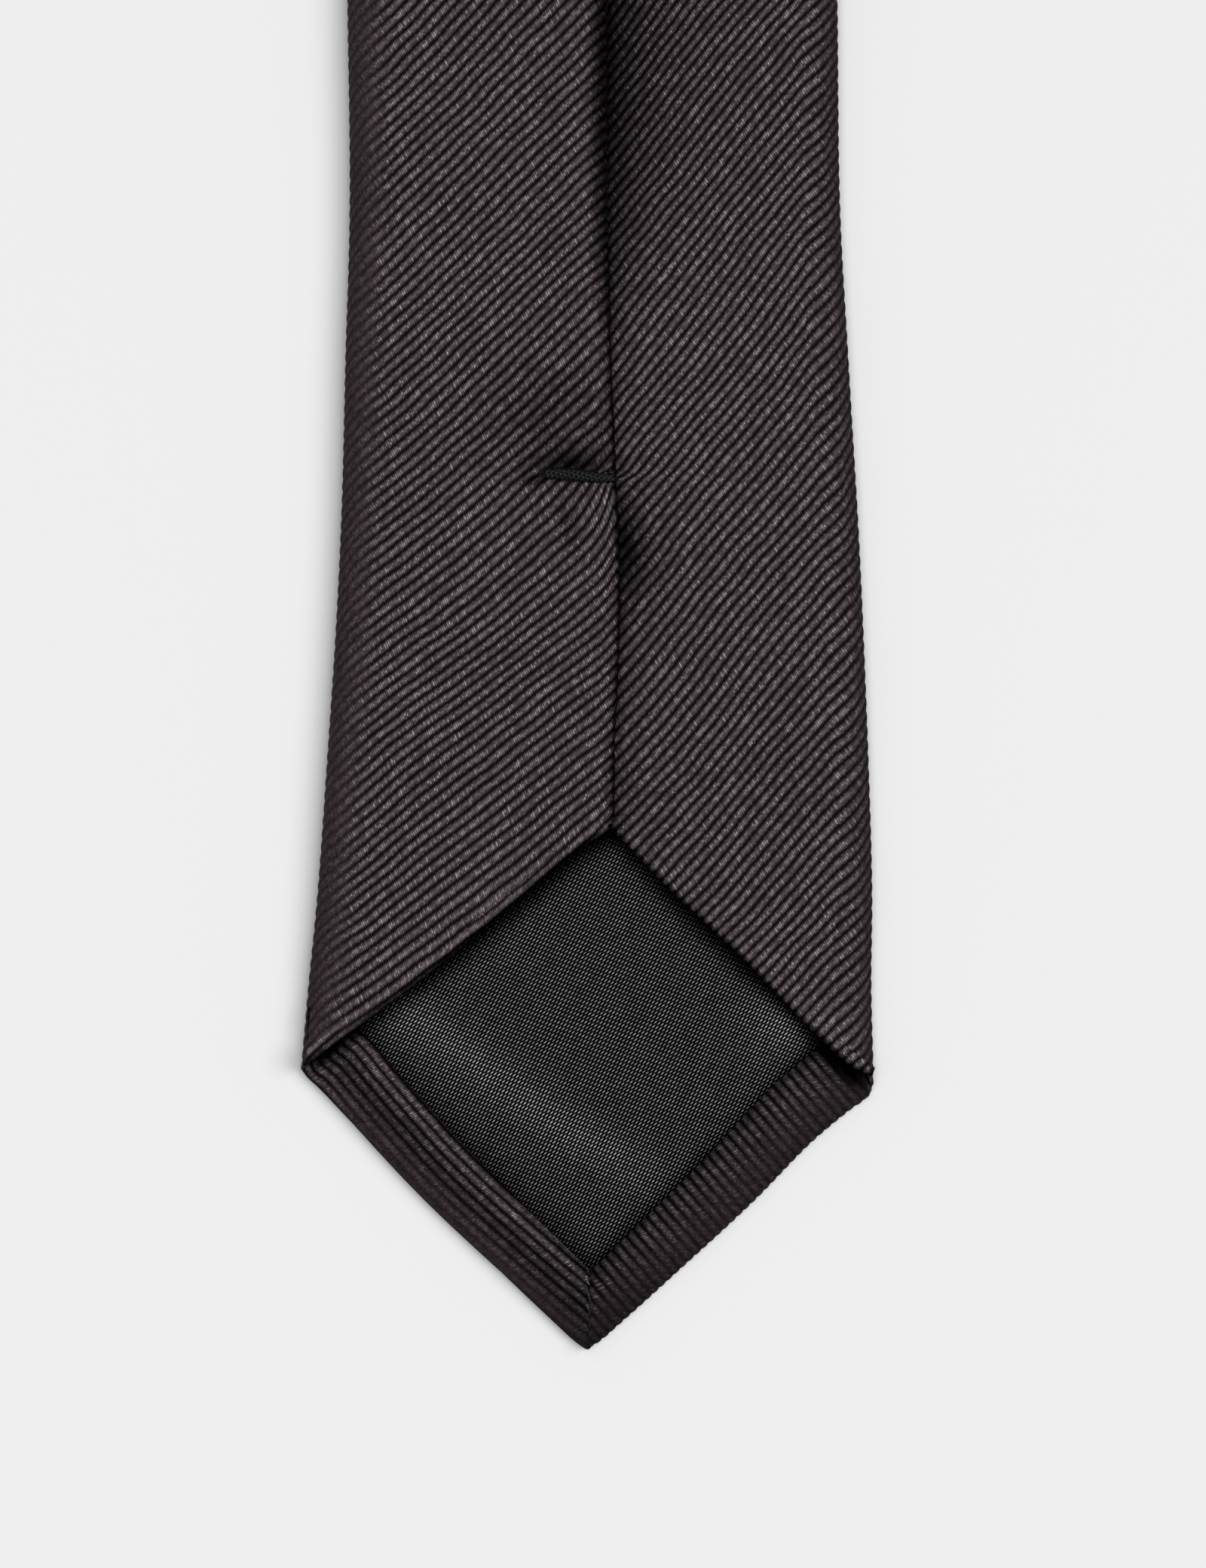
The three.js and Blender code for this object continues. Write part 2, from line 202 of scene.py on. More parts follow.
@dataclass(frozen=True)
class TiePlan:
    """The tie's outline and layers, laid flat."""

    under_round: float = 2.0  # how far the bottom of a side fold is rounded in
    over_round: float = 4.4  # and its top
    belly: float = 0.42  # height of a side fold's widest place, as a share of the thickness
    lap: float = 6.0  # the right flap runs on under the left one to this far left of the middle
    edge_round: float = 0.45  # radius of the left flap's turned edge
    tack_at: float = 107.3
    flat_until: float = 205.0  # the stretch that lies flat ends here
    flat_fade: float = 50.0
    half: Curve = field(
        default=through(
            [(34.5, 35), (45, 34.4), (56, 33.9), (72, 33.1), (88, 32.25), (110, 31.2), (122, 30.7), (138, 30)]
            + [(168, 29.9), (222, 28.9), (420, 22.4), (640, 17), (820, 16.8), (1010, 17), (1280, 20.6), (1456, 24)]
        )
    )
    sway: Curve = field(
        default=through([(34, 0), (45, 0.35), (55, 0.9), (72, 1.3), (100, 1.55), (122, 1.2), (166, 0.65), (215, 0)])
    )
    seam: Curve = field(
        default=through(
            [(60, 2.8), (76, 2.9), (84, 3.3), (96, 3.45), (105, 3.1), (116, 2.6), (140, 1.95), (168, 1.9), (222, 2.8)]
        )
    )
    left_skew: Curve = field(default=through([(36, 0.28), (60, 0.16), (100, 0.12), (126, 0.02), (166, 0.0)]))
    right_skew: Curve = field(
        default=through([(40, 0.0), (60, 0.05), (100, 0.08), (135, 0.18), (166, 0.2), (230, 0.0)])
    )
    thickness: Curve = field(
        default=through(
            [(34, 3.5), (44, 3.9), (60, 4.5), (80, 4.6), (215, 4.6), (262, 3.95), (300, 3.9), (400, 3.9)]
            + [(TIE_LENGTH, 3.9)]
        )
    )

    def lies_flat(self, s: np.ndarray) -> np.ndarray:
        """Return 1 on the flat stretch, where hand and stitches leave their marks, and 0 in the roll."""
        return 1 - ease((s - self.flat_until) / self.flat_fade)

    def arcs(self, s: np.ndarray) -> tuple[np.ndarray, np.ndarray]:
        """Return the lengths of the lower and the upper quarter of a side fold."""
        full = self.thickness(s)
        low, high = self.belly * full, (1 - self.belly) * full
        quarter = math.pi / 2 / math.sqrt(2)
        return quarter * np.hypot(self.under_round, low), quarter * np.hypot(self.over_round, high)

    def pull(self, side: Side, x: np.ndarray, s: np.ndarray) -> np.ndarray:
        """Return how far the cloth lies up along the tie from its true place: a little anywhere, more by the tack.

        Args:
            side: Which flap.
            x: Places across.
            s: Places along.

        Returns:
            The distances, in millimetres.
        """
        aside = np.abs(x - self.seam(s))
        loose = 0.42 * swell(x, s, 31, 34) + 0.1 * swell(x, s, 37, 8)
        skew = self.right_skew(s) if side is Side.RIGHT else self.left_skew(s)
        loose = loose - skew * np.maximum(self.half(s) - self.over_round - np.abs(x - self.sway(s)), 0)
        below = ease((self.tack_at + 0.7 - s) / 1.4)
        if side is Side.LEFT:
            drawn = 4.2 * np.exp(-aside / 3.2) * np.exp(-np.abs(self.tack_at - s) / 7.5) * below
            return loose + drawn - 1.0 * np.exp(-aside / 5) * np.exp(-np.abs(s - self.tack_at) / 6) * (1 - below)
        return loose + 0.9 * np.exp(-aside / 4) * np.exp(-np.abs(self.tack_at - s) / 8) * (2 * below - 1)

    def flap_height(self, side: Side, x: np.ndarray, s: np.ndarray) -> np.ndarray:
        """Return the height of a flap's outside.

        Args:
            side: Which flap.
            x: Places across.
            s: Places along.

        Returns:
            The heights, without the ribs.
        """
        seam = self.seam(s)
        flat = self.lies_flat(s)
        top = flat * ease((s - 106) / 34)
        beside = flat * bump((s - 98) / 6)
        height = self.thickness(s) + flat * 0.13 * swell(x, s, 3, 46)
        sewn = bump((x - 0.5) / 6.5) * bump((s - self.tack_at) / 4.2)
        hollow = bump((x + 5) / 10) * bump((s - self.tack_at - 11) / 9)
        height = height - flat * (1.2 * sewn + 0.45 * hollow)
        if side is Side.LEFT:
            away = seam - x
            crease = bump((x + 2.6) / 1.5) * bump((s - 101) / 3.5)
            height = height + 0.15 + (0.12 * flat + 0.6 * top) * bump(away / 6) - 0.5 * flat * crease
            return height - (0.15 + 1.1 * top) * ease(1 - away / 3) ** 2
        wide = 1.2 + 3.6 * top + 2.6 * beside
        deep = 1.0 + 1.3 * top + 1.1 * beside
        return height - deep * np.exp(-np.maximum(x - seam, 0) / wide)

    def painted_fold_shade(self, side: Side, x: np.ndarray, s: np.ndarray) -> np.ndarray:
        """Return the shade painted on a flap in the folds round the seam and the bar tack.

        Args:
            side: Which flap.
            x: Places across.
            s: Places along.

        Returns:
            The painted shade, from 0 on top to 1 where hardly any light gets in.
        """
        away = self.seam(s) - x
        flat = self.lies_flat(s)
        top = flat * ease((s - 118) / 34)
        if side is Side.LEFT:
            edge = (0.35 + 0.5 * top**0.5) * ease(1 - away / (0.9 + 1.8 * top**0.5)) ** 1.3
            stitch = 0.8 * bump((x + 1.8) / 4.4) * bump((s - self.tack_at - 1.4) / 1.8)
            stitch = 1 - (1 - stitch) * (1 - 0.75 * bump((x + 6.6) / 1.7) * bump((s - self.tack_at + 0.5) / 0.75))
            crease = 0.45 * bump((x + 2.6 + 0.25 * (s - 101)) / 0.9) * bump((s - 101.5) / 3)
            hollow = 0.3 * bump((x + 5) / 8) * bump((s - self.tack_at - 7) / 7)
            return flat * (1 - (1 - stitch) * (1 - crease) * (1 - hollow)) * (1 - edge) + edge
        past = np.maximum(-away, 0)
        valley = (0.62 + 0.33 * top) * np.exp(-past / (0.55 + 5.2 * top))
        valley = valley + 0.22 * flat * (1 - top) * np.exp(-past / 4) * ease((104 - s) / 10)
        dimple = flat * 0.74 * bump((x - 4.6 - 0.12 * (99 - s)) / 2.5) * bump((s - 98.5) / 5.6)
        return 1 - (1 - valley) * (1 - dimple)

    def around(self, p: float, s: np.ndarray) -> tuple[np.ndarray, ...]:
        """Follow the shell's cross-section round from the middle of the face cloth.

        Args:
            p: How far round, negative to the left: to 1 along the face, to 2 and 3 round the side fold,
                to 4 along the flap, to 5 round the left flap's turned edge and to 6 back under it.
            s: Places along the tie.

        Returns:
            x, h, u, the outward direction's x and h, the painted shade and how far the ribs are pressed.
        """
        side = Side.LEFT if p < 0 else Side.RIGHT
        way, q = side.value, abs(p)
        a, full = self.half(s), self.thickness(s)
        mid = self.belly * full
        low, high = self.arcs(s)
        zero = np.zeros_like(s)
        flat_to = a - self.under_round
        top_from = a - self.over_round
        if q <= 1:
            x, h, u, nx, nh = way * q * flat_to, zero, q * flat_to, zero, zero - 1
        elif q <= 2:
            turn = (q - 1) * math.pi / 2
            x = way * (flat_to + self.under_round * math.sin(turn))
            h = mid * (1 - math.cos(turn))
            u = flat_to + low * (q - 1)
            nx, nh = way * math.sin(turn) * mid, zero - math.cos(turn) * self.under_round
        elif q <= 3:
            turn = (q - 2) * math.pi / 2
            x = way * (top_from + self.over_round * math.cos(turn))
            h = mid + (full - mid) * math.sin(turn)
            u = flat_to + low + high * (q - 2)
            nx, nh = way * math.cos(turn) * (full - mid), zero + math.sin(turn) * self.over_round
        else:
            edge = self.seam(s) - self.sway(s) if side is Side.LEFT else zero - self.lap
            span = way * top_from - edge
            t = min(q - 3, 1)
            x = way * top_from - span * t
            u = flat_to + low + high + np.abs(span) * t
            h, nx, nh = zero, zero, zero + 1
            if q > 4:
                turn = min(q - 4, 1) * math.pi
                x = x + self.edge_round * math.sin(turn) - 2 * max(q - 5, 0)
                u = u + self.edge_round * turn + 2 * max(q - 5, 0)
                h = h - self.edge_round * (1 - math.cos(turn))
                nx, nh = zero + math.sin(turn), zero + math.cos(turn)
        x = x + self.sway(s)
        if q > 2:
            # The top of a side fold meets the flap at the flap's own height.
            flap_x = np.minimum(x, self.seam(s)) if side is Side.LEFT else x
            meet = way * top_from + self.sway(s)
            at = flap_x if q > 3 else meet
            extra = self.flap_height(side, at, s) - full
            h = h + (extra + full if q > 3 else extra * math.sin((q - 2) * math.pi / 2))
        size = np.hypot(nx, nh)
        # Painted shade on the rounded side of the right side fold, none on the left.
        painted_shade = (0.0 if side is Side.LEFT else 0.5) * np.abs(nx / size) ** 1.2
        if q > 2:
            # Painted shade in the folds round the seam and the tack, and deep painted shade on the left flap's turned
            # edge.
            painted_shade = np.maximum(painted_shade, self.painted_fold_shade(side, x, s)) if q <= 4 else zero + 0.85
            # Ribs pressed flat near the side folds, more on the left; the twill also paints them an even tone without
            # its painted rib shade and glints.
            past_edge = self.half(s) - np.abs(x - self.sway(s))
            pressed = ease(1.25 - past_edge / 4.6) * 0.9 if side is Side.LEFT else ease(1.1 - past_edge / 2.2) * 0.6
        else:
            pressed = zero
        return x, h, way * u, nx / size, nh / size, painted_shade, pressed


PATH = TiePath()
PLAN = TiePlan()


@dataclass(frozen=True)
class PointedEnd:
    """A pointed end: its outline, hems and flaps, in (x, d), where d is the distance from the tip."""

    name: str
    scale: float  # of the wide end's outline
    from_far_end: bool = False

    def along(self, d: np.ndarray) -> np.ndarray:
        """Turn distances from the tip into places along the tie."""
        return TIE_LENGTH - d if self.from_far_end else d

    def _scaled(self, points: Points, x: np.ndarray) -> np.ndarray:
        """Return a curve's values, drawn for the wide end, at this end's scale."""
        return through(points)(np.asarray(x, float) / self.scale) * self.scale

    def outline(self, side: Side, x: np.ndarray) -> np.ndarray:
        """Return d on the pointed edge at the distance x from the middle."""
        if side is Side.LEFT:
            points = [(0, 0.25), (1.4, 1.25), (4, 3.6), (11, 10.1), (20.3, 19), (29.6, 28.8)]
            points += [(33, 32.45), (34.5, 33.85), (35, 34.6)]
        else:
            points = [(0, 0.25), (1.4, 1.15), (4, 3.4), (11.2, 9.9), (20.6, 18.6), (28, 26.1)]
            points += [(32.6, 29.9), (34.2, 31.1), (34.85, 32.0), (35, 32.8)]
        return self._scaled(points, x)

    def flap_edge(self, side: Side, x: np.ndarray) -> np.ndarray:
        """Return d on a flap's lower edge at x."""
        if side is Side.LEFT:
            points = [(-34.7, 35.1), (-27.7, 40.2), (-16.6, 48.7), (-7.3, 56.6), (-1.8, 61.2), (3.4, 64.4)]
        else:
            points = [(-8, 76), (3.2, 63.9), (9.6, 57.2), (18.7, 48.6), (27.7, 39.3), (33.2, 34.6), (35, 33.9)]
        return self._scaled(points, x)

    def hem(self, side: Side, x: np.ndarray) -> np.ndarray:
        """Return the hem's width at the distance x from the middle, square to the edge."""
        wide = 7.5 + 0.03 * x if side is Side.LEFT else 7.0 + 0.045 * x
        return wide * self.scale


WIDE_END = PointedEnd("wide", 1.0)
NARROW_END = PointedEnd("narrow", HALF_NARROW / HALF_WIDE, from_far_end=True)
HEM_TOP = 2.45  # height of a hem's top
HEM_MID = 1.05  # and of its turned edge
MITRE_X = 0.35  # the two hems meet this far right of the middle


# ---------------------------------------------------------------- mesh building


class ClothMesh:
    """Collects cloth surfaces with their cloth coordinates and makes one object of them."""

    def __init__(self) -> None:
        """Start with no surface."""
        self.points: list[np.ndarray] = []
        self.cloth: list[np.ndarray] = []
        self.painted_shade: list[np.ndarray] = []
        self.pressed: list[np.ndarray] = []
        self.faces: list[tuple[int, ...]] = []
        self.count = 0

    def grid(
        self,
        x: np.ndarray,
        s: np.ndarray,
        h: np.ndarray,
        u: np.ndarray,
        v: np.ndarray,
        shade: np.ndarray | float = 0.0,
        flat: np.ndarray | float = 0.0,
        same: np.ndarray | None = None,
        flip: bool = False,
    ) -> None:
        """Add a grid of quads.

        Args:
            x: Places across, shaped (columns, rows).
            s: Places along.
            h: Heights.
            u: Cloth coordinates across.
            v: Cloth coordinates along.
            shade: Painted shade in the folds, from 0 on top to 1 where hardly any light gets in.
            flat: How far the ribs are pressed flat, from 0 to 1.
            same: For each vertex, the row whose vertex of the same column it shares, or None.
            flip: True where the outside is on the other side.
        """
        columns, rows = x.shape
        row = np.tile(np.arange(rows), (columns, 1)) if same is None else same
        index = self.count + np.arange(columns)[:, None] * rows + row
        quads = np.stack([index[:-1, :-1], index[:-1, 1:], index[1:, 1:], index[1:, :-1]], -1).reshape(-1, 4)
        if flip:
            quads = quads[:, ::-1]
        left_shut = quads[:, 0] == quads[:, 1] if not flip else quads[:, 3] == quads[:, 2]
        right_shut = quads[:, 2] == quads[:, 3] if not flip else quads[:, 1] == quads[:, 0]
        self.faces += [tuple(q) for q in quads[~left_shut & ~right_shut].tolist()]
        for shut in (left_shut & ~right_shut, right_shut & ~left_shut):
            for q in quads[shut].tolist():
                kept = list(dict.fromkeys(q))
                if len(kept) == 3:
                    self.faces.append(tuple(kept))
        self.points.append(PATH.place(x, s, h))
        self.cloth.append(np.stack([np.ravel(u), np.ravel(v)], 1))
        self.painted_shade.append(np.broadcast_to(shade, x.shape).ravel())
        self.pressed.append(np.broadcast_to(flat, x.shape).ravel())
        self.count += x.size

    def build(self, name: str) -> bpy.types.Object:
        """Make the object, with its cloth coordinates as a UV map, its painted shade as the attribute "fold", and
        "pressed" as an attribute.

        Args:
            name: The object's name.

        Returns:
            The new object, at the origin.
        """
        points = np.concatenate(self.points)
        cloth = np.concatenate(self.cloth)
        used = np.unique(np.fromiter((i for f in self.faces for i in f), int))
        new_index = np.full(len(points), -1)
        new_index[used] = np.arange(len(used))
        mesh = bpy.data.meshes.new(name)
        mesh.from_pydata(points[used].tolist(), [], [tuple(new_index[list(f)].tolist()) for f in self.faces])
        uv = mesh.uv_layers.new(name="cloth")
        corner = np.zeros(len(mesh.loops), np.int32)
        mesh.loops.foreach_get("vertex_index", corner)
        uv.data.foreach_set("uv", cloth[used][corner].astype(np.float32).ravel())
        # "fold" holds the painted shade.
        for kind, values in (("fold", self.painted_shade), ("pressed", self.pressed)):
            layer = mesh.attributes.new(kind, "FLOAT", "POINT")
            layer.data.foreach_set("value", np.clip(np.concatenate(values)[used], 0, 1).astype(np.float32))
        mesh.shade_smooth()
        mesh.validate()
        obj = bpy.data.objects.new(name, mesh)
        bpy.context.scene.collection.objects.link(obj)
        return obj


def spread(*stretches: tuple[float, float, int]) -> list[float]:
    """Return rising values: each stretch (from, to, steps) is split evenly, and joins the next."""
    values = [stretches[0][0]]
    for start, stop, steps in stretches:
        values += [start + (stop - start) * (i + 1) / steps for i in range(steps)]
    return values


# ---------------------------------------------------------------- shell


@dataclass
class ShellPanel:
    """A stretch of the folded face cloth, with its hems and flap edges where it has a pointed end."""

    name: str
    start: float
    stop: float
    rib_rows: int = 4  # mesh rows to one rib
    flap_steps: int = 12
    face_steps: int = 12
    end: PointedEnd | None = None

    def columns(self) -> list[float]:
        """Return the places round the cross-section that get a column, from the left flap's hidden edge."""
        return spread(
            (-6, -5, 2),
            (-5, -4, 4),
            (-4, -3, self.flap_steps),
            (-3, -2, 7),
            (-2, -1, 5),
            (-1, 1, self.face_steps),
            (1, 2, 5),
            (2, 3, 7),
            (3, 4, self.flap_steps),
        )

    def limits(self, p: float) -> tuple[float, float]:
        """Return the first and last place along the tie of the column at p."""
        low, high = self.start, self.stop
        if self.end is None:
            return low, high
        near = 30.0
        for _ in range(12):  # the column's x depends a little on where it ends
            s = np.array([float(self.end.along(np.array(near)))])
            x = PLAN.around(p, s)[0]
            near = float(self.edge_at(p, float(x[0])))
        stop = float(self.end.along(np.array(near)))
        return (low, stop) if self.end.from_far_end else (stop, high)

    def edge_at(self, p: float, x: float) -> float:
        """Return the distance from the tip at which a column ends.

        Args:
            p: How far round the column lies, as TiePlan.around takes it.
            x: The column's place across, where it ends.

        Returns:
            The distance, in millimetres.
        """
        end = self.end
        side = Side.LEFT if p < 0 else Side.RIGHT
        if abs(p) <= 2:
            inset = 1.5 * ease(np.array(2 - abs(p)))
            return float(end.outline(side, np.array(abs(x))) + inset)
        # On the outer round of a side fold, the edge runs from the pointed edge to the flap's.
        onto = float(ease(np.array((abs(p) - 2) / 0.5)))
        flap = float(end.flap_edge(side, np.array(x))) + 0.7 * onto
        corner = float(end.outline(side, np.array(abs(x))))
        return corner * (1 - onto) + flap * onto

    def main_surface(self, cloth: ClothMesh) -> None:
        """Add the face, the side folds and the flaps as one surface whose rows follow the ribs."""
        step = RIB_STEP / self.rib_rows
        reach = 2.2 * float(np.max(PLAN.half(np.array([self.start, self.stop])))) + 6
        first = math.floor((self.start - reach) / step)
        last = math.ceil((self.stop + reach) / step)
        ribs = np.arange(first, last + 1) * step
        parts = []
        for p in self.columns():
            low, high = self.limits(p)
            side = Side.LEFT if p < 0 else Side.RIGHT
            s = ribs.copy()
            for _ in range(14):
                inside = np.clip(s, low - 3, high + 3)
                x, _, u = PLAN.around(p, inside)[:3]
                drawn = PLAN.pull(side, x, inside) if abs(p) > 2.5 else 0
                s = 0.5 * s + 0.5 * (ribs - u + drawn)
            s = np.clip(s, low, high)
            x, h, u, nx, nh, painted_shade, flat = PLAN.around(p, s)
            v = s - (PLAN.pull(side, x, s) if abs(p) > 2.5 else 0)
            relief = rib_relief(u, v) * (1 - 0.5 * flat)
            rows = np.arange(len(ribs))
            below, above = s <= low, s >= high
            keep_low = int(below.sum()) - 1 if below.any() else 0
            keep_high = len(ribs) - int(above.sum()) if above.any() else len(ribs) - 1
            same = np.clip(rows, max(keep_low, 0), keep_high)
            parts.append((x + nx * relief, s, h + nh * relief + RIB_RELIEF, u, v, painted_shade, flat, same))
        x, s, h, u, v, painted_shade, flat, same = (np.stack(c) for c in zip(*parts))
        cloth.grid(x, s, h, u, v, painted_shade, flat, same.astype(int))

    def hem_strip(self, cloth: ClothMesh, side: Side, fine: bool) -> None:
        """Add the hem of a pointed edge, from under the edge, round it and in to the tipping.

        Args:
            cloth: The mesh that it is added to.
            side: Which edge.
            fine: True to give every rib its rows.
        """
        end, way = self.end, side.value
        outer = HALF_WIDE * end.scale
        across_ribs = side is Side.RIGHT
        along = 250 if across_ribs and fine else 60
        across = 16 if across_ribs or not fine else 44
        dist = np.linspace(0, 1, along + 1)[:, None] * outer
        d0 = end.outline(side, dist)
        slope = float(end.outline(side, np.array(outer))) / outer
        norm = math.hypot(1, slope)
        width = end.hem(side, dist)
        round_in = 3.6 * end.scale if side is Side.LEFT else 2.6 * end.scale
        t = np.linspace(-1.6, 1, across + 1)[None, :]
        under = np.clip(-t, 0, 1.6)
        turn_in = np.clip(-t, 0, 1) * math.pi / 2
        inset_under = 1.0 * (1 - np.cos(turn_in)) + np.clip(under - 1, 0, 1) * 3
        h_under = HEM_MID * (1 - np.sin(turn_in)) + 0.18 + np.clip(under - 1, 0, 1) * 0.6
        over = np.clip(t, 0, 1)
        inward = over * width
        turn_out = np.clip(inward / round_in, 0, 1)
        h_over = HEM_MID + (HEM_TOP - HEM_MID) * np.sqrt(np.clip(1 - (1 - turn_out) ** 2, 0, 1))
        h_over = h_over - 0.5 * ease((inward - width + 0.9) / 0.9)
        top = t >= 0
        inset = np.where(top, inward, inset_under)
        h = np.where(top, h_over, h_under)
        mitre = way * MITRE_X * end.scale
        room = np.maximum((dist - mitre) * norm / slope, 0.02)
        inset = np.minimum(inset, room)
        corner = ease((dist - outer + 3) / 3)
        h = h - (0.9 if side is Side.RIGHT else 0.5) * corner * over
        arc = np.where(top, inward + 0.6, 0.6 - 1.2 * under)
        x_in, d_in = -slope / norm, 1 / norm
        x = way * (dist + inset * x_in)
        d = d0 + inset * d_in
        u = way * (dist - arc * x_in)
        v = end.along(d0 - arc * d_in)
        relief = rib_relief(u, v)
        turn_n = np.where(top, (1 - turn_out) * (turn_out < 1), np.cos(turn_in))
        x = x - way * x_in * relief * turn_n
        x = np.clip(x, -outer - 0.1, outer + 0.1)
        d = d - d_in * relief * turn_n
        h = h + np.where(top, relief, -relief) * np.sqrt(np.clip(1 - turn_n**2, 0, 1))
        h = h + 0.05 * swell(x, d, 11, 22) * over
        # Painted light and shade across the hem, as the share of its colour kept from its outer edge in.
        if side is Side.LEFT:
            light = [(0, 0.8), (0.15, 0.85), (0.32, 0.58), (0.5, 0.46), (0.68, 0.64), (0.84, 0.85), (0.97, 0.5)]
            flat = ease(1 - over / 0.6) * ease((outer - dist) / 8)
        else:
            light = [(0, 0.56), (0.3, 0.6), (0.6, 0.62), (0.8, 0.6), (0.9, 0.62), (1, 0.4)]
            flat = 0.8 * ease(1.2 - over / 0.7)
        painted_light = through(light)(over)
        # Painted shade near the tip, and painted shadow under the flap's edge.
        tip = 0.25 * bump(dist / 9)
        reach = 2.0 if side is Side.RIGHT else 1.1
        under_flap = 0.97 * ease(1.45 - (end.flap_edge(side, x) - d) / 1.32 / reach) * ease((over - 0.05) / 0.2)
        shade = 1 - painted_light * (1 - tip) * (1 - under_flap)
        flip = (side is Side.RIGHT) == end.from_far_end
        cloth.grid(x + PLAN.sway(end.along(d)), end.along(d), h, u, v, shade, flat + 0 * shade, flip=flip)

    def flap_strip(self, cloth: ClothMesh, side: Side, fine: bool) -> None:
        """Add the turned lower edge of a flap, from its top, round the edge and back underneath.

        Args:
            cloth: The mesh that it is added to.
            side: Which flap.
            fine: True to give every rib its rows.
        """
        end = self.end
        far = -34.6 * end.scale if side is Side.LEFT else 34.9 * end.scale
        stop = float(PLAN.seam(end.along(np.array(63.0 * end.scale)))) if side is Side.LEFT else -4 * end.scale
        steps = 230 if fine else 60
        x0 = np.linspace(far, stop, steps + 1)[:, None]
        d0 = end.flap_edge(side, x0)
        slope = (end.flap_edge(side, x0 + 0.1) - end.flap_edge(side, x0 - 0.1)) / 0.2
        slope = np.where(np.abs(x0 - far) < 0.2, slope[1], slope)
        norm = np.hypot(1, slope)
        x_in, d_in = -slope / norm, 1 / norm
        t = np.linspace(-1, 3, 21)[None, :]
        radius = 0.62
        turn = np.clip(t, 0, 1) * math.pi
        lead = np.clip(-t, 0, 1)
        back = np.clip(t - 1, 0, 2)
        inset = radius * (1 - np.sin(turn)) + lead * 0.9 + back * 2.4
        drop = radius * (1 - np.cos(turn)) + 0.05 * lead
        arc = radius * (turn - 1) - lead * 0.9 + back * 2.4
        s0 = end.along(d0)
        outward = np.sin(turn)
        room = np.abs(PLAN.half(s0) - 0.5 + side.value * (PLAN.sway(s0) - x0)) / np.abs(x_in)
        inset = np.minimum(inset, room)
        x = x0 + inset * x_in
        d = d0 + inset * d_in
        s = end.along(d)
        h = PLAN.flap_height(side, x, s) - drop
        a, full_arcs = PLAN.half(s0), PLAN.arcs(s0)
        at = side.value * (a - PLAN.over_round) + PLAN.sway(s0)
        folded = a - PLAN.under_round + full_arcs[0] + full_arcs[1] + side.value * (at - x0)
        u = side.value * folded + arc * x_in
        v = s0 - arc * d_in * (-1 if end.from_far_end else 1) - PLAN.pull(side, x0, s0)
        relief = rib_relief(u, v)
        x = x - x_in * outward * relief
        d = d - d_in * outward * relief
        h = h + np.cos(turn) * relief + RIB_RELIEF
        # Painted shade round and under the flap's turned edge, and in the folds.
        shade = np.maximum(0.9 * ease((t + 0.1) / 0.5), PLAN.painted_fold_shade(side, x, s))
        flip = (side is Side.RIGHT) != end.from_far_end
        cloth.grid(x, end.along(d), h, u, v, shade, flip=flip)

    def build(self, material: bpy.types.Material) -> bpy.types.Object:
        """Make the panel.

        Args:
            material: The ribbed cloth.

        Returns:
            The new object.
        """
        cloth = ClothMesh()
        self.main_surface(cloth)
        if self.end is not None:
            fine = not self.end.from_far_end
            for side in Side:
                self.hem_strip(cloth, side, fine)
                self.flap_strip(cloth, side, fine)
        obj = cloth.build(self.name)
        obj.data.materials.append(material)
        return obj


# ---------------------------------------------------------------- materials


# What a Math node does with its values, and how a Mix node joins its inputs 6 and 7 into its output 2.
MATH = "ShaderNodeMath"
ADD, SUBTRACT, MULTIPLY, DIVIDE = ({"operation": name} for name in ("ADD", "SUBTRACT", "MULTIPLY", "DIVIDE"))
POWER, FLOOR, FRACT, SINE, ABSOLUTE = (
    {"operation": name} for name in ("POWER", "FLOOR", "FRACT", "SINE", "ABSOLUTE")
)
MIX = "ShaderNodeMix"
BLEND = {"data_type": "RGBA", "blend_type": "MIX"}
DARKEN = {"data_type": "RGBA", "blend_type": "MULTIPLY"}


def linear(hex_colour: str) -> tuple[float, float, float, float]:
    """Turn an sRGB hex colour into linear red, green, blue and alpha."""
    parts = [int(hex_colour[i : i + 2], 16) / 255 for i in (1, 3, 5)]
    return (*(c / 12.92 if c <= 0.04045 else ((c + 0.055) / 1.055) ** 2.4 for c in parts), 1.0)


def plug(tree: bpy.types.NodeTree, onto: bpy.types.Node, **sockets: object) -> None:
    """Set a node's inputs, or link them.

    Args:
        tree: The material's node tree.
        onto: The node whose inputs they are.
        sockets: What goes in, by the input's name with _ for a space, or by its number as i0, i1 and so
            on: a value, an output socket to link, or a node whose first output is linked.
    """
    for key, value in sockets.items():
        numbered = key[0] == "i" and key[1:].isdigit()
        target = onto.inputs[int(key[1:]) if numbered else key.replace("_", " ")]
        if isinstance(value, bpy.types.Node):
            value = value.outputs[0]
        if isinstance(value, bpy.types.NodeSocket):
            tree.links.new(value, target)
        else:
            target.default_value = value


def node(
    tree: bpy.types.NodeTree, kind: str, settings: dict[str, str] | None = None, *values: object, **sockets: object
) -> bpy.types.Node:
    """Add a node to a material.

    Args:
        tree: The material's node tree.
        kind: The node's type.
        settings: Values of the node's own properties.
        values: What goes into its first inputs, in their order.
        sockets: What goes into its other inputs, as plug takes them.

    Returns:
        The new node.
    """
    new = tree.nodes.new(kind)
    for key, value in (settings or {}).items():
        setattr(new, key, value)
    plug(tree, new, **{f"i{i}": value for i, value in enumerate(values)}, **sockets)
    return new


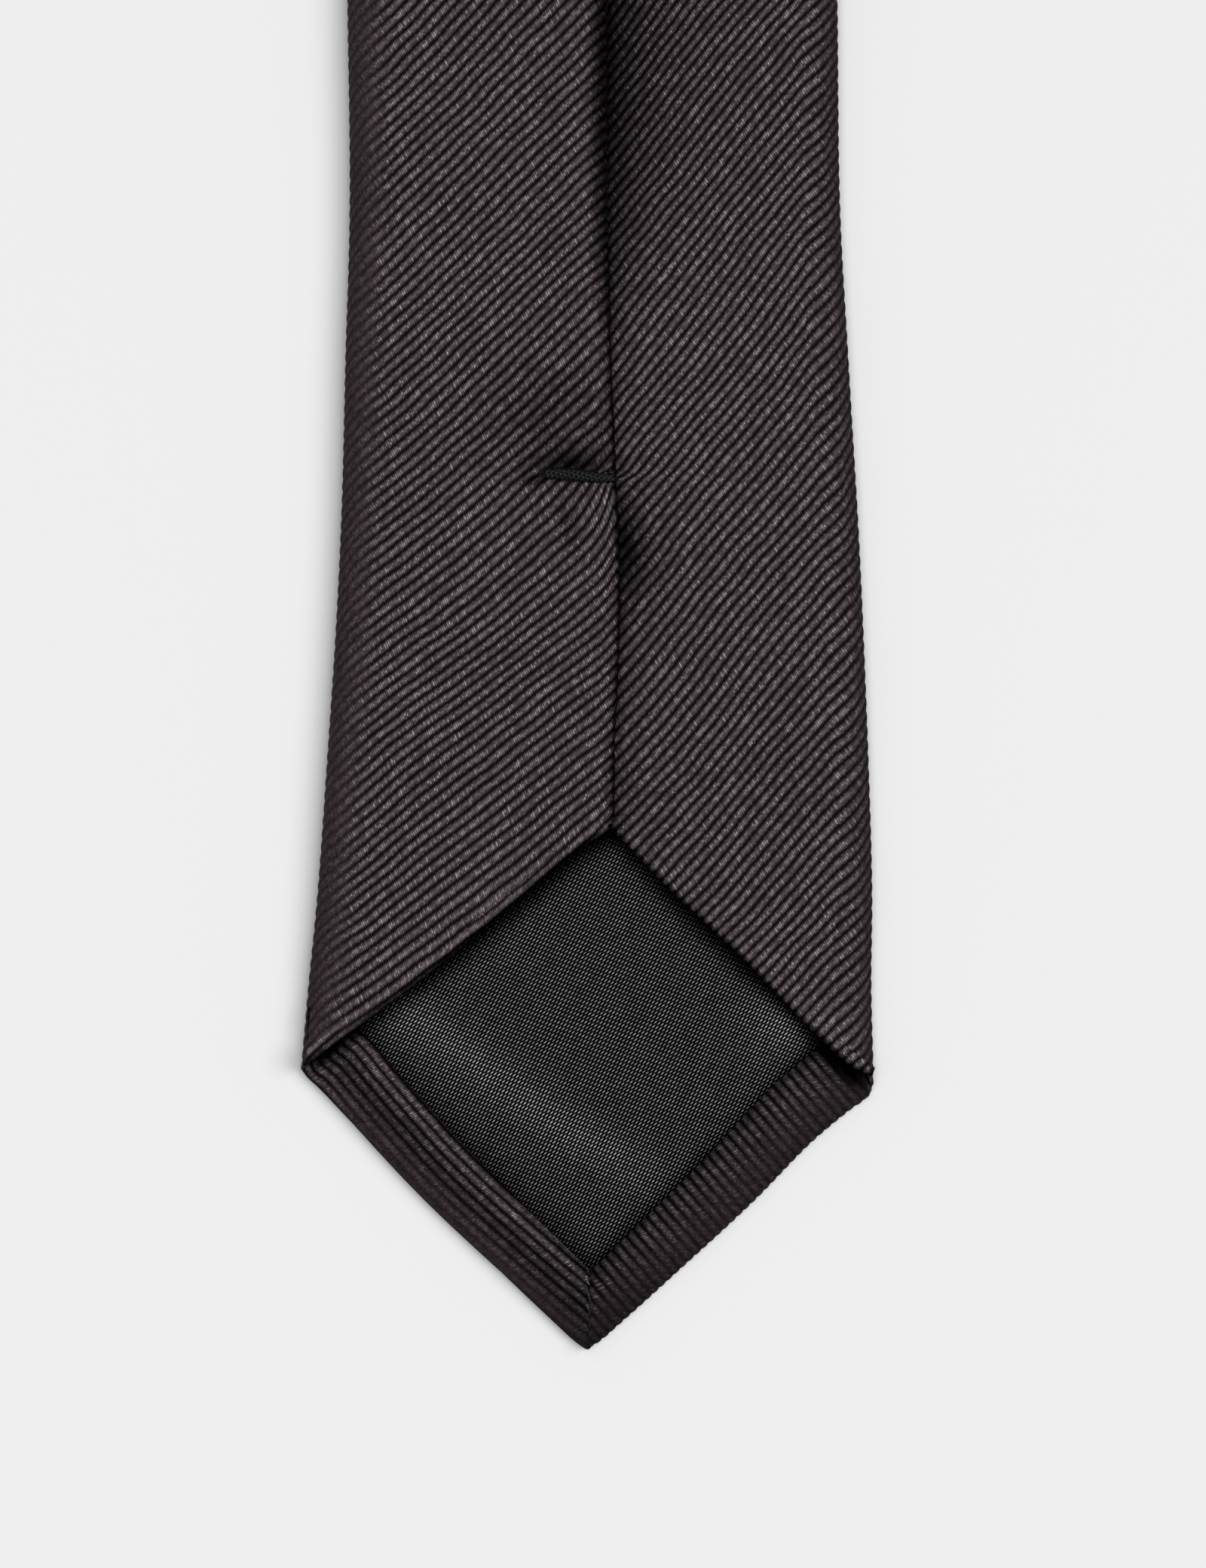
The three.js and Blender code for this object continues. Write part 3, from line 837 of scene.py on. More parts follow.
def blank(name: str) -> tuple[bpy.types.Material, bpy.types.NodeTree, bpy.types.Node]:
    """Start a material and return it with its node tree and its Principled shader."""
    material = bpy.data.materials.new(name)
    material.use_nodes = True
    tree = material.node_tree
    return material, tree, tree.nodes["Principled BSDF"]


def dimmed(tree: bpy.types.NodeTree, colour: bpy.types.NodeSocket, by: bpy.types.Node) -> bpy.types.NodeSocket:
    """Multiply a colour by a number."""
    grey = node(tree, "ShaderNodeCombineColor", None, by, by, by)
    return node(tree, MIX, DARKEN, 1.0, i6=colour, i7=grey).outputs[2]


def ridges(tree: bpy.types.NodeTree, place: bpy.types.Node) -> bpy.types.Node:
    """Return rounded ridges from 0 to 1, one to each whole number of a place."""
    return node(tree, MATH, ABSOLUTE, node(tree, MATH, SINE, node(tree, MATH, MULTIPLY, place, math.pi)))


def by_cell(tree: bpy.types.NodeTree, *places: bpy.types.Node) -> bpy.types.Node:
    """Return a random number for each whole-numbered cell of two places."""
    cell = node(tree, "ShaderNodeCombineXYZ", None, *(node(tree, MATH, FLOOR, place) for place in places))
    return node(tree, "ShaderNodeTexWhiteNoise", {"noise_dimensions": "2D"}, cell)


def cloth_place(tree: bpy.types.NodeTree) -> tuple[bpy.types.NodeSocket, bpy.types.NodeSocket, bpy.types.NodeSocket]:
    """Return the cloth UV map, which is in millimetres, and its u and v."""
    uv = node(tree, "ShaderNodeUVMap", {"uv_map": "cloth"}).outputs[0]
    split = node(tree, "ShaderNodeSeparateXYZ", i0=uv)
    return uv, split.outputs[0], split.outputs[1]


def bands(pitch: float) -> float:
    """Return the Scale of a Wave texture whose bands lie this many millimetres apart."""
    return math.pi / (pitch * MM) / 20


def dress_cloth(
    tree: bpy.types.NodeTree,
    shader: bpy.types.Node,
    colour: bpy.types.NodeSocket,
    relief: bpy.types.Node,
    roughness: bpy.types.Node,
    shine: bpy.types.Node,
) -> None:
    """Dress a cloth's shader, darker and less shiny by the mesh's "fold" value, which is painted shade for the folds.

    Args:
        tree: The material's node tree.
        shader: Its Principled shader.
        colour: The cloth's colour in the open.
        relief: The Bump node of its threads.
        roughness: Its roughness.
        shine: Its specular level in the open.
    """
    fold = node(tree, "ShaderNodeAttribute", {"attribute_name": "fold"}).outputs["Fac"]
    left = node(tree, MATH, SUBTRACT, 1.0, fold)
    plug(tree, shader, Base_Color=dimmed(tree, colour, left), Normal=relief, Roughness=roughness)
    plug(tree, shader, Specular_IOR_Level=node(tree, MATH, MULTIPLY, shine, left))


@dataclass(frozen=True)
class RibbedTwill:
    """Polyester twill with raised slanting ribs, each crossed by fine threads; the dark grooves are painted shade and
    the glints on the threads painted highlights.
    """

    # Painted shade: the colour between the ribs, darkened where their grooves would lie in shade.
    groove: str = "#100d0e"
    crest: str = "#594f52"
    # Painted highlight: the light colour that the glints on the threads are painted in.
    thread: str = "#a39c9f"
    pressed_and_painted_tone: str = "#473f42"  # where the ribs are pressed flat: an even tone in place of the painted rib shade and glints, partly pressed ribs and partly painted light and shade on the side folds

    def build(self) -> bpy.types.Material:
        """Make the material. It reads the cloth UV map, which is in millimetres."""
        material, tree, shader = blank("ribbed_polyester_twill")
        uv, u, v = cloth_place(tree)
        rib = node(tree, MATH, DIVIDE, node(tree, MATH, ADD, u, v), RIB_STEP)
        along = node(tree, MATH, DIVIDE, node(tree, MATH, SUBTRACT, u, v), math.sqrt(2) * THREAD_PITCH)
        along = node(tree, MATH, ADD, along, node(tree, MATH, MULTIPLY, node(tree, MATH, FLOOR, rib), 0.5))
        # Each rib is crossed by slanting threads: the slant adds a share of the way across the rib.
        along = node(tree, MATH, ADD, along, node(tree, MATH, MULTIPLY, node(tree, MATH, FRACT, rib), 1.2))
        crest, crown = ridges(tree, rib), ridges(tree, along)
        chance = by_cell(tree, rib, along)
        fleck = by_cell(tree, node(tree, MATH, MULTIPLY, rib, 4.0), along)
        fibre = node(tree, "ShaderNodeTexNoise", i0=uv, Scale=9.0, Detail=3.0).outputs[0]
        cloud = node(tree, "ShaderNodeTexNoise", i0=uv, Scale=0.05, Detail=2.0).outputs[0]
        pressed = node(tree, "ShaderNodeAttribute", {"attribute_name": "pressed"}).outputs["Fac"]
        # Painted highlight: a few fibres on the threads catch the light, painted in the light thread colour and given
        # more shine, and none where the ribs are pressed.
        spark = node(tree, MATH, MULTIPLY, node(tree, MATH, MULTIPLY, chance, fleck), 0.62)
        glint = node(tree, MATH, MULTIPLY, node(tree, MATH, POWER, crown, 1.6), node(tree, MATH, POWER, crest, 1.6))
        glint = node(tree, MATH, MULTIPLY, glint, node(tree, MATH, ADD, 0.05, spark))
        glint = node(tree, MATH, MULTIPLY, glint, node(tree, MATH, SUBTRACT, 1.0, pressed))
        # Painted shade: the colour darkens from the crests towards the grooves.
        raised = node(tree, MATH, POWER, crest, 1.7)
        body = node(tree, MIX, BLEND, raised, i6=linear(self.groove), i7=linear(self.crest)).outputs[2]
        # Where the ribs are pressed: the even tone replaces the painted rib shade and glints.
        pressed_tone_share = node(tree, MATH, MULTIPLY, pressed, 0.8)
        body = node(tree, MIX, BLEND, pressed_tone_share, i6=body, i7=linear(self.pressed_and_painted_tone)).outputs[2]
        mottle = node(tree, MATH, ADD, node(tree, MATH, MULTIPLY, fibre, 0.3), node(tree, MATH, MULTIPLY, cloud, 0.2))
        tone = node(tree, MATH, ADD, node(tree, MATH, ADD, 0.5, mottle), node(tree, MATH, MULTIPLY, fleck, 0.5))
        uneven = node(tree, MATH, MULTIPLY, chance, 0.3)
        threads = node(tree, MATH, ADD, node(tree, MATH, MULTIPLY, crown, 0.7), uneven)
        height = node(tree, MATH, MULTIPLY, threads, crest)
        dress_cloth(
            tree,
            shader,
            colour=dimmed(tree, node(tree, MIX, BLEND, glint, i6=body, i7=linear(self.thread)).outputs[2], tone),
            relief=node(tree, "ShaderNodeBump", Strength=0.85, Distance=0.06 * MM, Height=height),
            roughness=node(tree, MATH, SUBTRACT, 0.58, node(tree, MATH, MULTIPLY, crown, 0.12)),
            shine=node(tree, MATH, ADD, 0.06, glint),
        )
        return material


@dataclass(frozen=True)
class WovenTipping:
    """Black acetate lining in plain weave: rows of float threads with painted highlights on their crowns, and a broad
    satin sheen.
    """

    ground: str = "#010101"
    # Painted highlight: the light colour of the float threads' crowns.
    floats: str = "#c8c9c9"

    def build(self) -> bpy.types.Material:
        """Make the material. It reads the cloth UV map, which is in millimetres."""
        material, tree, shader = blank("black_acetate_lining")
        _, u, v = cloth_place(tree)
        rows = []
        for angle, pitch in ((-24, 0.435), (-60, 0.33)):  # of the two sets of float threads, in millimetres
            turn = math.radians(angle)
            part_u = node(tree, MATH, MULTIPLY, u, math.cos(turn) / pitch)
            part_v = node(tree, MATH, MULTIPLY, v, math.sin(turn) / pitch)
            rows.append(node(tree, MATH, ADD, part_u, part_v))
        crown = node(tree, MATH, MULTIPLY, *(ridges(tree, row) for row in rows))
        bright = node(tree, MATH, ADD, 0.75, node(tree, MATH, MULTIPLY, by_cell(tree, *rows), 0.55))
        # The float crowns stand out in the bump and are painted lighter and shinier as highlights.
        float_relief_and_highlight = node(tree, MATH, MULTIPLY, node(tree, MATH, POWER, crown, 3.6), bright)
        dress_cloth(
            tree,
            shader,
            colour=node(tree, MIX, BLEND, float_relief_and_highlight, i6=linear(self.ground), i7=linear(self.floats)).outputs[2],
            relief=node(tree, "ShaderNodeBump", Strength=0.8, Distance=0.05 * MM, Height=float_relief_and_highlight),
            roughness=node(tree, MATH, SUBTRACT, 0.52, node(tree, MATH, MULTIPLY, crown, 0.14)),
            shine=node(tree, MATH, ADD, 0.03, float_relief_and_highlight),
        )
        return material


@dataclass(frozen=True)
class SpunThread:
    """Black polyester sewing thread: fine slanting plies with a dull shine."""

    dark: str = "#0b0d0d"
    light: str = "#272b2a"

    def build(self) -> bpy.types.Material:
        """Make the material, on Object coordinates."""
        material, tree, shader = blank("black_polyester_thread")
        where = node(tree, "ShaderNodeTexCoord").outputs["Object"]
        turned = node(tree, "ShaderNodeMapping", i0=where, Rotation=(0.0, 0.0, math.radians(38))).outputs[0]
        wave = node(tree, "ShaderNodeTexWave", {"wave_type": "BANDS"}, i0=turned, Scale=bands(0.25), Distortion=1.5)
        ply = wave.outputs[1]
        fuzz = node(tree, "ShaderNodeTexNoise", i0=where, Scale=6000.0, Detail=3.0).outputs[0]
        share = node(tree, MATH, MULTIPLY, ply, node(tree, MATH, ADD, 0.4, fuzz))
        relief = node(tree, "ShaderNodeBump", Strength=0.7, Distance=0.04 * MM, Height=ply)
        colour = node(tree, MIX, BLEND, share, i6=linear(self.dark), i7=linear(self.light)).outputs[2]
        plug(tree, shader, Base_Color=colour, Normal=relief, Roughness=0.6)
        return material


@dataclass(frozen=True)
class BrushedWool:
    """Undyed wool interlining: a soft, hairy canvas with a faint grid of yarns."""

    dark: str = "#8d8676"
    light: str = "#c9c2b2"

    def build(self) -> bpy.types.Material:
        """Make the material, on Object coordinates."""
        material, tree, shader = blank("brushed_wool_canvas")
        where = node(tree, "ShaderNodeTexCoord").outputs["Object"]
        hair = node(tree, "ShaderNodeTexNoise", i0=where, Scale=2500.0, Detail=6.0, Roughness=0.7).outputs[0]
        yarn = node(tree, "ShaderNodeTexVoronoi", i0=where, Scale=1 / (0.8 * MM)).outputs[0]
        share = node(tree, MATH, MULTIPLY, hair, node(tree, MATH, ADD, 0.5, yarn))
        relief = node(tree, "ShaderNodeBump", Strength=0.6, Distance=0.15 * MM, Height=hair)
        colour = node(tree, MIX, BLEND, share, i6=linear(self.dark), i7=linear(self.light)).outputs[2]
        plug(tree, shader, Base_Color=colour, Normal=relief, Roughness=0.95, Sheen_Weight=0.3)
        return material


@dataclass(frozen=True)
class LabelSatin:
    """Blank woven satin label: tight crosswise floats with a smooth sheen."""

    dark: str = "#17181b"
    light: str = "#3b3d42"

    def build(self) -> bpy.types.Material:
        """Make the material, on Object coordinates."""
        material, tree, shader = blank("black_woven_satin")
        where = node(tree, "ShaderNodeTexCoord").outputs["Object"]
        across = {"wave_type": "BANDS", "bands_direction": "Y"}
        floats = node(tree, "ShaderNodeTexWave", across, i0=where, Scale=bands(0.3), Distortion=0.6).outputs[1]
        relief = node(tree, "ShaderNodeBump", Strength=0.5, Distance=0.04 * MM, Height=floats)
        colour = node(tree, MIX, BLEND, floats, i6=linear(self.dark), i7=linear(self.light)).outputs[2]
        plug(tree, shader, Base_Color=colour, Normal=relief, Roughness=0.4)
        return material


@dataclass(frozen=True)
class PaperFloor:
    """Plain pale paper sweep."""

    colour: str = "#d5d5d5"

    def build(self) -> bpy.types.Material:
        """Make the material, on Object coordinates."""
        material, tree, shader = blank("matt_paper")
        where = node(tree, "ShaderNodeTexCoord").outputs["Object"]
        tooth = node(tree, "ShaderNodeTexNoise", i0=where, Scale=900.0, Detail=2.0).outputs[0]
        relief = node(tree, "ShaderNodeBump", Strength=0.05, Distance=0.05 * MM, Height=tooth)
        plug(tree, shader, Base_Color=linear(self.colour), Normal=relief, Roughness=0.95, Specular_IOR_Level=0.0)
        return material


# ---------------------------------------------------------------- other pieces


@dataclass
class Tipping:
    """The lining of a pointed end, sewn to the hems and lying under the flaps."""

    name: str
    end: PointedEnd
    reach: float  # how far it runs from the tip
    height: float = 1.95

    def build(self, material: bpy.types.Material) -> bpy.types.Object:
        """Make the tipping.

        Args:
            material: The lining cloth.

        Returns:
            The new object.
        """
        k = self.end.scale
        outer = 32.5 * k
        x = np.linspace(-outer, outer, 66)[:, None]
        left = x < MITRE_X
        tuck = 0.9
        hem = np.where(left, self.end.hem(Side.LEFT, np.abs(x)), self.end.hem(Side.RIGHT, np.abs(x)))
        edge = np.where(left, self.end.outline(Side.LEFT, np.abs(x)), self.end.outline(Side.RIGHT, np.abs(x)))
        start = edge + (hem - tuck) * math.sqrt(2)
        t = np.linspace(0, 1, 110)[None, :] ** 1.15
        d = start + (self.reach - start) * t
        s = self.end.along(d)
        from_hem = (d - start) / math.sqrt(2) - tuck
        pucker = bump(from_hem / 1.5)
        wave = 0.16 * swell(x, d, 21, 38 * k) + 0.05 * swell(x, d, 5, 13 * k)
        fold = bump((0.58 * (x / k - 6) + 0.81 * (d / k - 20.5)) / 3.0) * ease((d / k - 16) / 10)
        corner = bump((x / k - 25) / 5.5) * bump((d / k - 41) / 4.5)
        h = self.height + (wave + 0.6 * fold + 0.5 * corner) * ease(from_hem / 8) - 0.28 * pucker
        h = h - 0.5 * ease(-from_hem / tuck)
        mesh = ClothMesh()
        # Its outer edges narrow with the blade, inside the side folds.
        room = PLAN.half(np.clip(s, 36, 1450)) - 2.2
        narrow = np.minimum(1, room / (outer + 0.01))
        past = ease((d - 34 * k) / (10 * k))
        across = x * (1 - past + past * narrow)
        # Painted shadow on the lining under the flaps' edges.
        below_left = (self.end.flap_edge(Side.LEFT, x) - d) / 1.28
        below_right = (self.end.flap_edge(Side.RIGHT, x) - d) / 1.35
        under_left = 0.95 * ease(1 - below_left / (2.2 * k))
        under_right = 0.97 * ease(1 - below_right / ((3.6 - 1.5 * corner) * k))
        shade = 1 - (1 - under_left) * (1 - under_right)
        # Painted shade along the hems.
        off_hem = np.maximum(from_hem - 0.1, 0)
        by_hem = np.where(left, 0.6 * np.exp(-off_hem / 1.5), 0.7 * np.exp(-off_hem / 0.9))
        # Painted shade over the lining, less along the raised streak and at the corner, which show as a painted
        # sheen.
        painted_shade_off_streak = 0.4 * (1 - 0.85 * fold) * (1 - corner)
        shade = 1 - (1 - shade) * (1 - by_hem) * (1 - painted_shade_off_streak)
        mesh.grid(across + PLAN.sway(s), s, h, x + 0 * d, d, shade, flip=not self.end.from_far_end)
        obj = mesh.build(self.name)
        obj.data.materials.append(material)
        return obj


SLAB_STEP = 2.4  # along a layer, between two of its cross-sections
MERGE = 0.01 * MM  # vertices closer than this are one


def open_to_edit(obj: bpy.types.Object) -> None:
    """Open an object's mesh in edit mode, all selected, with its doubles merged."""
    select_only(obj)
    bpy.ops.object.mode_set(mode="EDIT")
    bpy.ops.mesh.select_all(action="SELECT")
    bpy.ops.mesh.remove_doubles(threshold=MERGE)


def close_edit() -> None:
    """Turn the faces of the mesh in edit mode outwards and leave edit mode."""
    bpy.ops.mesh.select_all(action="SELECT")
    bpy.ops.mesh.normals_make_consistent(inside=False)
    bpy.ops.object.mode_set(mode="OBJECT")


def slab(name: str, start: float, stop: float, inset: float, low: float, high: float) -> bpy.types.Object:
    """Make a closed layer that lies inside the side folds, such as a stretch of interlining.

    Args:
        name: The object's name.
        start: Where it starts along the tie.
        stop: Where it stops.
        inset: How far its edges lie inside the tie's.
        low: Height of its underside.
        high: Height of its top.

    Returns:
        The new object, without a material.
    """
    count = max(8, int((stop - start) / SLAB_STEP))
    s = np.linspace(start, stop, count)[None, :]
    near = np.minimum(s, TIE_LENGTH - s)
    a = np.minimum(PLAN.half(s) - inset, np.maximum(near - 2.5, 0.5))
    shares = (-1, -0.5, 0, 0.5, 1)
    outline = [(f, low) for f in shares] + [(f, high) for f in reversed(shares)] + [(-1, low)]
    x = np.concatenate([a * f + PLAN.sway(s) for f, _ in outline])
    # It is pressed thinner between the hems and the front.
    pressed = 0.5 * ease((62 - near) / 12)
    h = np.concatenate([level - pressed * (1 if level == high else 0.7) for _, level in outline])
    s = np.repeat(s, len(outline), 0)
    mesh = ClothMesh()
    mesh.grid(x, s, h, x, s)
    obj = mesh.build(name)
    open_to_edit(obj)
    bpy.ops.mesh.fill_holes(sides=0)
    close_edit()
    return obj


def select_only(*objects: bpy.types.Object) -> None:
    """Select these objects alone and make the first one active."""
    bpy.ops.object.select_all(action="DESELECT")
    for obj in objects:
        obj.select_set(True)
    bpy.context.view_layer.objects.active = objects[0]


def tube(points: np.ndarray, radius: Sequence[float], name: str) -> bpy.types.Object:
    """Make a closed round tube through points of the row frame.

    Args:
        points: The points, in metres.
        radius: The tube's radius at each point, in millimetres.
        name: The object's name.

    Returns:
        The new object, without a material.
    """
    curve = bpy.data.curves.new(name, "CURVE")
    curve.dimensions = "3D"
    curve.bevel_depth = MM
    curve.bevel_resolution = 2
    curve.use_fill_caps = True
    spline = curve.splines.new("POLY")
    spline.points.add(len(points) - 1)
    for target, place, thick in zip(spline.points, points, radius):
        target.co = (*place, 1)
        target.radius = thick
    obj = bpy.data.objects.new(name, curve)
    bpy.context.scene.collection.objects.link(obj)
    select_only(obj)
    bpy.ops.object.convert(target="MESH")
    return bpy.context.view_layer.objects.active


def joined(parts: list[bpy.types.Object], name: str, material: bpy.types.Material) -> bpy.types.Object:
    """Join parts into one object with one material."""
    select_only(*parts)
    if len(parts) > 1:
        bpy.ops.object.join()
    obj = bpy.context.view_layer.objects.active
    obj.name = obj.data.name = name
    obj.data.materials.clear()
    obj.data.materials.append(material)
    obj.data.shade_smooth()
    return obj


@dataclass
class BarTack:
    """The hand-sewn bar that holds the two flaps together: a few long stitches bound round with thread."""

    left: float = -6.1
    right: float = 3.9
    strands: int = 6
    bindings: int = 16

    def build(self, material: bpy.types.Material) -> bpy.types.Object:
        """Make the tack.

        Args:
            material: The sewing thread.

        Returns:
            The new object.
        """
        t = np.linspace(0, 1, 60)
        x = self.left + (self.right - self.left) * t
        swell_mid = np.sin(math.pi * np.clip(t * 0.9 + 0.1, 0, 1)) ** 0.6
        lie = np.array([float(PLAN.flap_height(Side.LEFT, np.array(min(a, 2.6)), np.array(PLAN.tack_at))) for a in x])
        end_dip = 0.9 * np.clip(1 - t / 0.12, 0, 1) + 1.3 * np.clip((t - 0.9) / 0.1, 0, 1)
        centre_h = lie + 0.55 - end_dip
        centre_s = PLAN.tack_at - 0.5 * (t - 0.45) + 0.1 * np.sin(5 * t)
        parts = []
        for i in range(self.strands):
            turn = math.tau * (i / self.strands) + 5.5 * t
            spread_out = 0.42 * swell_mid
            s = centre_s + spread_out * np.cos(turn) * 1.15
            h = centre_h + spread_out * np.sin(turn) * 0.8
            parts.append(tube(PATH.place(x, s, h), 0.24 * (0.45 + 0.55 * swell_mid), f"strand_{i}"))
        for i in range(self.bindings):
            at = 0.12 + 0.8 * i / (self.bindings - 1)
            turn = np.linspace(-0.15 * math.pi, 1.15 * math.pi, 12)
            wide = 0.72 * float(np.interp(at, t, swell_mid))
            cx, cs, ch = (float(np.interp(at, t, a)) for a in (x, centre_s, centre_h))
            bind_x = cx + 0.5 * (turn / math.pi - 0.5)
            ring = PATH.place(bind_x, cs + wide * np.cos(turn), ch + wide * 0.8 * np.sin(turn))
            parts.append(tube(ring, [0.15] * len(turn), f"bind_{i}"))
        return joined(parts, "wide_bar_tack_thread", material)


@dataclass
class StitchRow:
    """A row of small straight stitches."""

    name: str
    ends: list[tuple[tuple[float, float, float], tuple[float, float, float]]]
    thick: float = 0.11

    def build(self, material: bpy.types.Material) -> bpy.types.Object:
        """Make the stitches, each a short arched thread."""
        parts = []
        for i, (start, stop) in enumerate(self.ends):
            t = np.linspace(0, 1, 7)[:, None]
            line = np.array(start) * (1 - t) + np.array(stop) * t
            line[:, 2] += 0.16 * np.sin(math.pi * t[:, 0]) - 0.08
            parts.append(tube(PATH.place(*line.T), [self.thick] * len(line), f"stitch_{i}"))
        return joined(parts, self.name, material)


@dataclass
class KeeperLoop:
    """The self-cloth band across the back that the narrow blade is slipped through."""

    start: float = 181.0
    width: float = 14.0
    span: float = 17.0
    clear: float = 0.7
    thick: float = 0.9

    def lie(self, x: np.ndarray) -> np.ndarray:
        """Return the height of the band's underside, over the flaps and down to them at its ends."""
        middle = np.full_like(x, self.start + self.width / 2)
        left = PLAN.flap_height(Side.LEFT, np.minimum(x, PLAN.seam(middle) - 3.5), middle)
        right = PLAN.flap_height(Side.RIGHT, x, middle)
        over = 1 - ease((x - PLAN.seam(middle)) / 6)
        rest = right + (left - right) * over + RIB_RELIEF + 0.1
        free = ease((self.span - np.abs(x)) / 5)
        return rest + self.clear * free

    def build(self, material: bpy.types.Material) -> bpy.types.Object:
        """Make the band with rounded long edges and ribs across its outside."""
        x = np.linspace(-self.span, self.span, 150)[None, :]
        turn = np.linspace(0, math.tau, 49)[:, None]
        half = self.width / 2
        flat = np.sign(np.cos(turn)) * np.abs(np.cos(turn)) ** 0.35
        s_out = half * flat
        h_out = self.thick / 2 * np.sign(np.sin(turn)) * np.abs(np.sin(turn)) ** 0.7
        close = 0.35 + 0.65 * ease((self.span - np.abs(x)) / 0.8)
        s = self.start + half + s_out + 0 * x
        u, v = x + 0 * s, s * 1.0
        relief = rib_relief(u, v) * (np.sin(turn) > 0)
        h = self.lie(x) + self.thick / 2 + h_out * close + relief
        mesh = ClothMesh()
        mesh.grid(x + 0 * s, s, h, u, v, flip=True)
        obj = mesh.build("keeper_loop_cloth")
        open_to_edit(obj)
        bpy.ops.mesh.select_all(action="DESELECT")
        bpy.ops.mesh.select_non_manifold()
        # This also joins the two ends inside the band, and its sheet's area counts those faces.
        bpy.ops.mesh.fill()
        close_edit()
        obj.data.materials.append(material)
        return obj

    def tack(self, side: Side, material: bpy.types.Material) -> bpy.types.Object:
        """Make the hand tacks along one end of the band."""
        x = side.value * (self.span - 1.4)
        top = float(self.lie(np.array([x]))[0]) + self.thick + RIB_RELIEF
        rows = [self.start + 1.5 + 2.2 * i for i in range(6)]
        ends = [((x, s, top), (x + side.value * 0.5, s + 1.3, top)) for s in rows]
        return StitchRow(f"keeper_tack_thread_{side.name.lower()}", ends, 0.14).build(material)


@dataclass
class CareLabel:
    """A small blank satin label caught in the back seam."""

    start: float = 203.5
    width: float = 10.0
    reach: float = 22.0

    def build(self, material: bpy.types.Material) -> bpy.types.Object:
        """Make the label from a thin box, cut fine and laid over the flap.

        Args:
            material: The label's satin.

        Returns:
            The new object.
        """
        left = float(PLAN.seam(np.array(self.start))) - 0.8
        bpy.ops.object.select_all(action="DESELECT")
        bpy.ops.mesh.primitive_cube_add(size=1)
        obj = bpy.context.view_layer.objects.active
        obj.name = obj.data.name = "care_label_satin"
        bpy.ops.object.mode_set(mode="EDIT")
        bpy.ops.mesh.select_all(action="SELECT")
        bpy.ops.transform.resize(value=(self.reach, self.width, 0.22))
        bpy.ops.mesh.bevel(offset=0.08, segments=2, affect="EDGES")
        bpy.ops.mesh.select_all(action="SELECT")
        bpy.ops.mesh.subdivide(number_cuts=11)
        bpy.ops.object.mode_set(mode="OBJECT")
        co = np.array([v.co for v in obj.data.vertices])
        x = co[:, 0] + self.reach / 2 + left
        s = co[:, 1] + self.width / 2 + self.start
        under = PLAN.flap_height(Side.RIGHT, x, s) + RIB_RELIEF + 0.25
        away = ease((x - left - 4) / 16)
        curl = 0.9 * away**2 + 0.12 * np.sin(co[:, 1] * 0.9) * away
        placed = PATH.place(x, s, under + co[:, 2] + curl)
        obj.data.vertices.foreach_set("co", placed.astype(np.float32).ravel())
        obj.data.materials.append(material)
        obj.data.shade_smooth()
        return obj


# ---------------------------------------------------------------- studio


@dataclass
class Studio:
    """Floor, light and the camera that looks straight down."""

    view_height: float = 193.0  # of the floor in the picture, in millimetres
    centre_x: float = 1.95
    centre_s: float = 69.6
    lens: float = 110.0
    sensor: float = 36.0

    def camera(self) -> None:
        """Make the camera."""
        bpy.ops.object.select_all(action="DESELECT")
        middle = PATH.place(self.centre_x, self.centre_s, 0.0)[0]
        away = self.lens / self.sensor * self.view_height * MM
        bpy.ops.object.camera_add(location=(middle[0], middle[1], away), rotation=(0, 0, 0))
        camera = bpy.context.view_layer.objects.active
        camera.data.lens = self.lens
        camera.data.sensor_width = self.sensor
        camera.data.clip_start = 0.01
        bpy.context.scene.camera = camera

    def floor(self) -> None:
        """Make the paper floor."""
        bpy.ops.object.select_all(action="DESELECT")
        bpy.ops.mesh.primitive_plane_add(size=6)
        floor = bpy.context.view_layer.objects.active
        floor.name = "paper_floor"
        floor.data.transform(floor.matrix_world)
        floor.data.materials.append(PaperFloor().build())

    def light(self) -> None:
        """Light the scene from everywhere, and more from the upper right."""
        world = bpy.data.worlds.new("studio")
        world.use_nodes = True
        world.node_tree.nodes["Background"].inputs[0].default_value = (1.0, 1.0, 1.0, 1.0)
        world.node_tree.nodes["Background"].inputs[1].default_value = 0.2
        bpy.context.scene.world = world
        suns = (("overhead", 1.45, 0, 0, 50), ("key", 1.08, 40, 15, 34))
        for name, strength, tilt, turn, spread_angle in suns:
            bpy.ops.object.select_all(action="DESELECT")
            rotation = (0, math.radians(tilt), math.radians(turn))
            bpy.ops.object.light_add(type="SUN", location=(0.4, 0.2, 0.5), rotation=rotation)
            sun = bpy.context.view_layer.objects.active
            sun.name = sun.data.name = name
            sun.data.energy = strength
            sun.data.angle = math.radians(spread_angle)
        view = bpy.context.scene.view_settings
        view.view_transform = "Standard"
        view.look = "High Contrast"

    def build(self) -> None:
        """Make the studio."""
        self.camera()
        self.floor()
        self.light()


# ---------------------------------------------------------------- assembly


